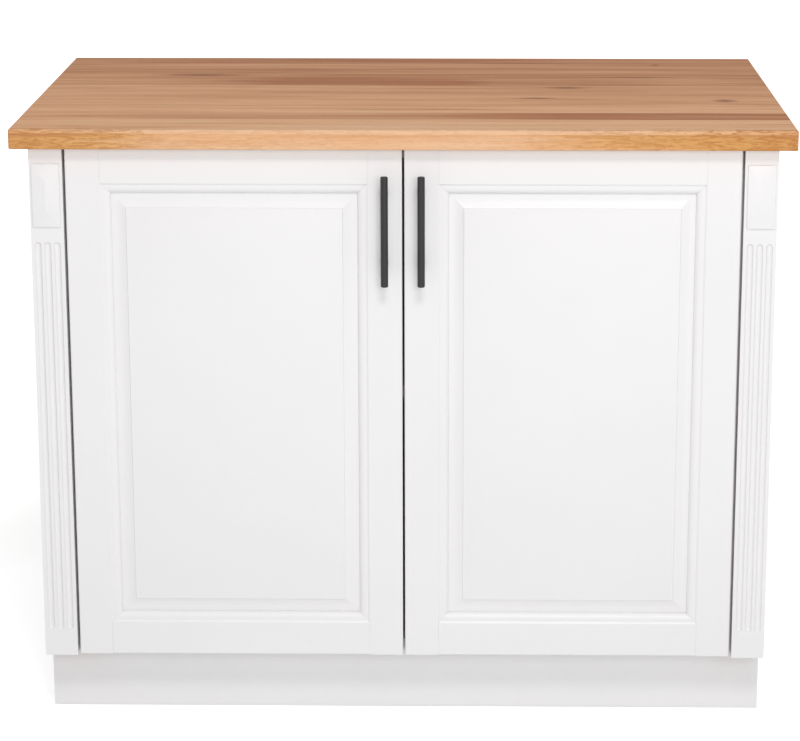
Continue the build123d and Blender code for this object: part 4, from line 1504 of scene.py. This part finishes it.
@dataclass
class Leg:
    """Levelling foot with its thread, and the ribs of the socket over it.

    The thread's outline gives its depth, from core to crest, over one turn's rise.
    """

    corners: tuple[str, ...] = ("front_left", "front_right", "rear_left", "rear_right")
    base_height: float = 8.0 * MM
    base_faces: int = 48
    base_bevel: float = 1.6 * MM
    base_steps: int = 2
    base_rim: float = 1.2 * MM
    grip_step: float = 7.5
    grip_margin: float = 0.4 * MM
    grip_depth: float = 0.9 * MM
    hub_radius: float = 15.0 * MM
    hub_top: float = 19.0 * MM
    hub_lip: float = 1.0 * MM
    hub_crown: float = 0.6 * MM
    cone_rise: float = 3.0 * MM
    core_radius: float = 8.8 * MM
    thread_radius: float = 9.95 * MM
    thread_outline: Points = ((0.0, 0.0), (0.3, 0.0), (0.45, 1.0), (0.75, 1.0), (0.9, 0.0), (1.0, 0.0))
    thread_steps: int = 24
    pitch: float = 4.0 * MM
    turns: int = 17
    rib_reach: float = 16.0 * MM
    rib_drop: float = 22.0 * MM
    rib_foot: float = 2.0 * MM
    rib_thickness: float = 2.2 * MM
    rib_rounding: float = 0.3 * MM
    rib_steps: int = 2
    tube_radius: float = 15.8 * MM
    flange: float = 4.0 * MM
    crease: float = 32.0

    def build(self) -> None:
        """Builds the feet at the four corners and the sockets over them."""
        foot = self.model_foot()
        middles = []
        for corner in self.corners:
            node = "leg_foot_" + corner
            low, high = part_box(node)
            middle = (low + high) / 2
            middles.append(Vector((middle.x, middle.y, 0.0)))
            piece = copy_to(foot, node + "_threaded", Matrix.Translation(middles[-1]))
            place_piece(piece, "foot_" + corner, "black_plastic", node)
        put_away(foot)
        self.build_sockets(middles)

    def model_foot(self) -> Piece:
        """Models a foot at the origin, with its grip disc, hub and threaded stem.

        Returns:
            The foot.
        """
        low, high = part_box("leg_foot_front_left")
        radius = (high.x - low.x) / 2
        disc = start_rod("foot_disc", (0, 0, 0), (0, 0, self.base_height), radius, self.base_faces)
        with edit(disc):
            choose_faces(disc, lambda middle, normal: normal.z < -FACING)
            bpy.ops.mesh.bevel(offset=self.base_bevel, segments=self.base_steps, affect="EDGES")
            choose_faces(disc, self.is_grip)
            bpy.ops.mesh.inset(thickness=self.grip_margin, depth=-self.grip_depth)
            choose_faces(disc, lambda middle, normal: normal.z > FACING and middle.length < radius / 2)
            bpy.ops.mesh.inset(thickness=self.base_rim)
            bpy.ops.mesh.inset(thickness=radius - self.base_rim - self.hub_radius)
            lift(self.cone_rise)
            push(z=self.hub_top - self.base_height - self.cone_rise)
            bpy.ops.mesh.inset(thickness=self.hub_lip)
            lift(self.hub_crown)
        foot = join("foot_pattern", [disc, self.model_thread(high.z)])
        smooth(foot, self.crease)
        return foot

    def is_grip(self, middle: Vector, normal: Vector) -> bool:
        """Tells whether a face of the disc is in a hollow of its grip, two of every four round it."""
        step = math.degrees(math.atan2(middle.y, middle.x)) // self.grip_step
        return abs(normal.z) < 1.0 - FACING and step % 4 < 2

    def model_thread(self, top: float) -> Piece:
        """Winds the thread round the stem.

        Args:
            top: level of the stem's upper end.

        Returns:
            The stem.
        """
        start = top - (self.turns + 1) * self.pitch
        depth = self.thread_radius - self.core_radius
        points = [
            (self.core_radius + share * depth, 0.0, start + rise * self.pitch)
            for rise, share in self.thread_outline
        ]
        outline = bpy.data.meshes.new("thread")
        outline.from_pydata(points, [(number, number + 1) for number in range(len(points) - 1)], [])
        stem = put_in("foot_thread", outline)
        modify(
            stem,
            "SCREW",
            screw_offset=self.pitch,
            iterations=self.turns,
            steps=self.thread_steps,
            render_steps=self.thread_steps,
            use_merge_vertices=True,
            merge_threshold=MERGE,
        )
        with edit(stem):
            merge_corners()
            choose_rim(stem)
            bpy.ops.mesh.fill()
            turn_outwards()
        return stem

    def build_sockets(self, middles: list[Vector]) -> None:
        """Eases the sockets and adds their three ribs.

        Args:
            middles: the foot of each leg's axis.
        """
        sockets = copy_node("leg_sockets_ribbed", "leg_sockets")
        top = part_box("leg_sockets")[1].z - self.flange
        ribs = []
        for middle in middles:
            inward = -math.copysign(1.0, middle.x)
            for way in ((inward, 0, 0), (0, 1, 0), (0, -1, 0)):
                ribs.append(self.model_rib(middle, Vector(way), top))
        soften(sockets, Arris.PLASTIC.value)
        sockets = join("leg_sockets_ribbed", [sockets, *ribs])
        place_piece(sockets, "carcass", "black_plastic", "leg_sockets")

    def model_rib(self, middle: Vector, way: Vector, top: float) -> Piece:
        """Models one rib, from the tube to the flange.

        Args:
            middle: the leg's axis.
            way: where the rib reaches.
            top: level of the flange's underside.

        Returns:
            The rib.
        """
        across = Vector((abs(way.y), abs(way.x), 0.0)) * self.rib_thickness / 2
        near = middle + way * self.tube_radius - across
        far = middle + way * (self.tube_radius + self.rib_reach) + across
        low = Vector(map(min, near, far))
        high = Vector(map(max, near, far))
        low.z, high.z = top - self.rib_drop, top
        rib = start_box("rib", low, high)
        with edit(rib, "VERT") as mesh:
            for vertex in mesh.verts:
                outer = (vertex.co - middle).dot(way) > self.tube_radius + self.rib_reach / 2
                vertex.select_set(outer and vertex.co.z < top - self.rib_drop / 2)
            mesh.select_flush_mode()
            lift(self.rib_drop - self.rib_foot)
        soften(rib, self.rib_rounding, self.rib_steps)
        return rib


@dataclass
class Lamp:
    """A soft lamp: where it hangs, where it points, its two sizes and its power."""

    name: str
    place: Place
    aim: Place
    size: tuple[float, float]
    power: float

    def hang(self) -> None:
        """Hangs the lamp and turns it to its aim."""
        lamp = bpy.data.lights.new(self.name, "AREA")
        lamp.shape = "RECTANGLE"
        lamp.size, lamp.size_y = self.size
        lamp.energy = self.power
        stand = put_in(self.name, lamp)
        stand.location = self.place
        stand.rotation_euler = (Vector(self.aim) - Vector(self.place)).to_track_quat("-Z", "Y").to_euler()


@dataclass
class Studio:
    """Camera, floor, lamps and surroundings."""

    camera_place: Place = (0.0785, -3.755, 1.458)
    pitch: float = 13.88
    yaw: float = 0.745
    lens: float = 119.06
    sensor: float = 36.0
    shift: tuple[float, float] = (-0.0352, -0.08)
    ambient: float = 0.50
    floor_size: float = 40.0
    floor_colour: tuple[float, float, float, float] = (0.9, 0.9, 0.9, 1.0)
    floor_glow: float = 0.50
    floor_fades: Span = (0.8, 1.6)
    lamps: tuple[Lamp, ...] = (
        Lamp("front", (0.8, -4.2, 1.75), (0.0, -0.2, 0.45), (1.6, 1.2), 44.0),
        Lamp("high", (0.3, -2.9, 3.1), (0.0, -0.2, 0.3), (0.9, 0.6), 31.0),
    )

    def build(self) -> None:
        """Sets up everything round the object."""
        self.set_camera()
        self.lay_floor()
        self.set_world()
        for lamp in self.lamps:
            lamp.hang()
        bpy.context.scene.view_settings.view_transform = "Standard"

    def set_camera(self) -> None:
        """Places the camera where the photograph was taken from."""
        camera = bpy.data.cameras.new("camera")
        camera.lens = self.lens
        camera.sensor_width = self.sensor
        camera.shift_x, camera.shift_y = self.shift
        stand = put_in("camera", camera)
        stand.location = self.camera_place
        stand.rotation_euler = (math.radians(90.0 - self.pitch), 0.0, math.radians(self.yaw))
        bpy.context.scene.camera = stand

    def seen(self, sheet: NodeSheet) -> Socket:
        """Finds what the camera sees itself, in a mirror or through glass.

        Args:
            sheet: the nodes of a material or of the world.

        Returns:
            1 where it is seen so, and 0 elsewhere.
        """
        light = sheet.add("LightPath").outputs
        direct = sheet.math("MAXIMUM", light["Is Camera Ray"], light["Is Glossy Ray"])
        return sheet.math("MAXIMUM", direct, light["Is Transmission Ray"])

    def lay_floor(self) -> None:
        """Lays a pale floor that turns white away from the object and keeps its shadow."""
        let_go()
        bpy.ops.mesh.primitive_plane_add(size=self.floor_size)
        floor = named("floor")
        material = bpy.data.materials.new("floor_white")
        sheet = clean_sheet(material)
        away = sheet.spread(sheet.length(sheet.add("TexCoord").outputs["Object"]), self.floor_fades)
        away.node.interpolation_type = "SMOOTHSTEP"
        glow = sheet.times(self.seen(sheet), sheet.spread(away, WHOLE, self.floor_glow))
        diffuse = sheet.add("BsdfDiffuse", {"Color": self.floor_colour})
        light = sheet.add("Emission", {"Color": WHITE, "Strength": glow})
        both = sheet.add("AddShader", {0: diffuse.outputs[0], 1: light.outputs[0]})
        sheet.add("OutputMaterial", {"Surface": both.outputs[0]})
        floor.data.materials.append(material)
        floor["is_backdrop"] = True

    def set_world(self) -> None:
        """Makes the surroundings: soft light, and white where they are seen."""
        world = bpy.data.worlds.new("studio")
        bpy.context.scene.world = world
        sheet = clean_sheet(world)
        strength = sheet.spread(self.seen(sheet), WHOLE, self.ambient)
        glow = sheet.add("Background", {"Color": WHITE, "Strength": strength})
        sheet.add("OutputWorld", {"Surface": glow.outputs[0]})


def dress_nodes() -> None:
    """Gives every CAD node its finish in place of its plain colour."""
    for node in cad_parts.values():
        for place, material in enumerate(node.data.materials):
            node.data.materials[place] = MATERIALS[material.name.split(".")[0]]


def corners() -> list[list[float]]:
    """Returns the lowest and highest corners of the whole object as plain lists."""
    return [list(corner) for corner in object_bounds()]


def main() -> None:
    """Builds every piece in order."""
    logging.basicConfig(level=logging.INFO, format="%(name)s: %(message)s")
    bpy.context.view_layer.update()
    dress_nodes()
    Worktop().build()
    for side in Side:
        Door(side).build()
    Facade().build()
    Carcass().build()
    Fittings().build()
    Leg().build()
    Studio().build()


if __name__ == "__main__":
    main()
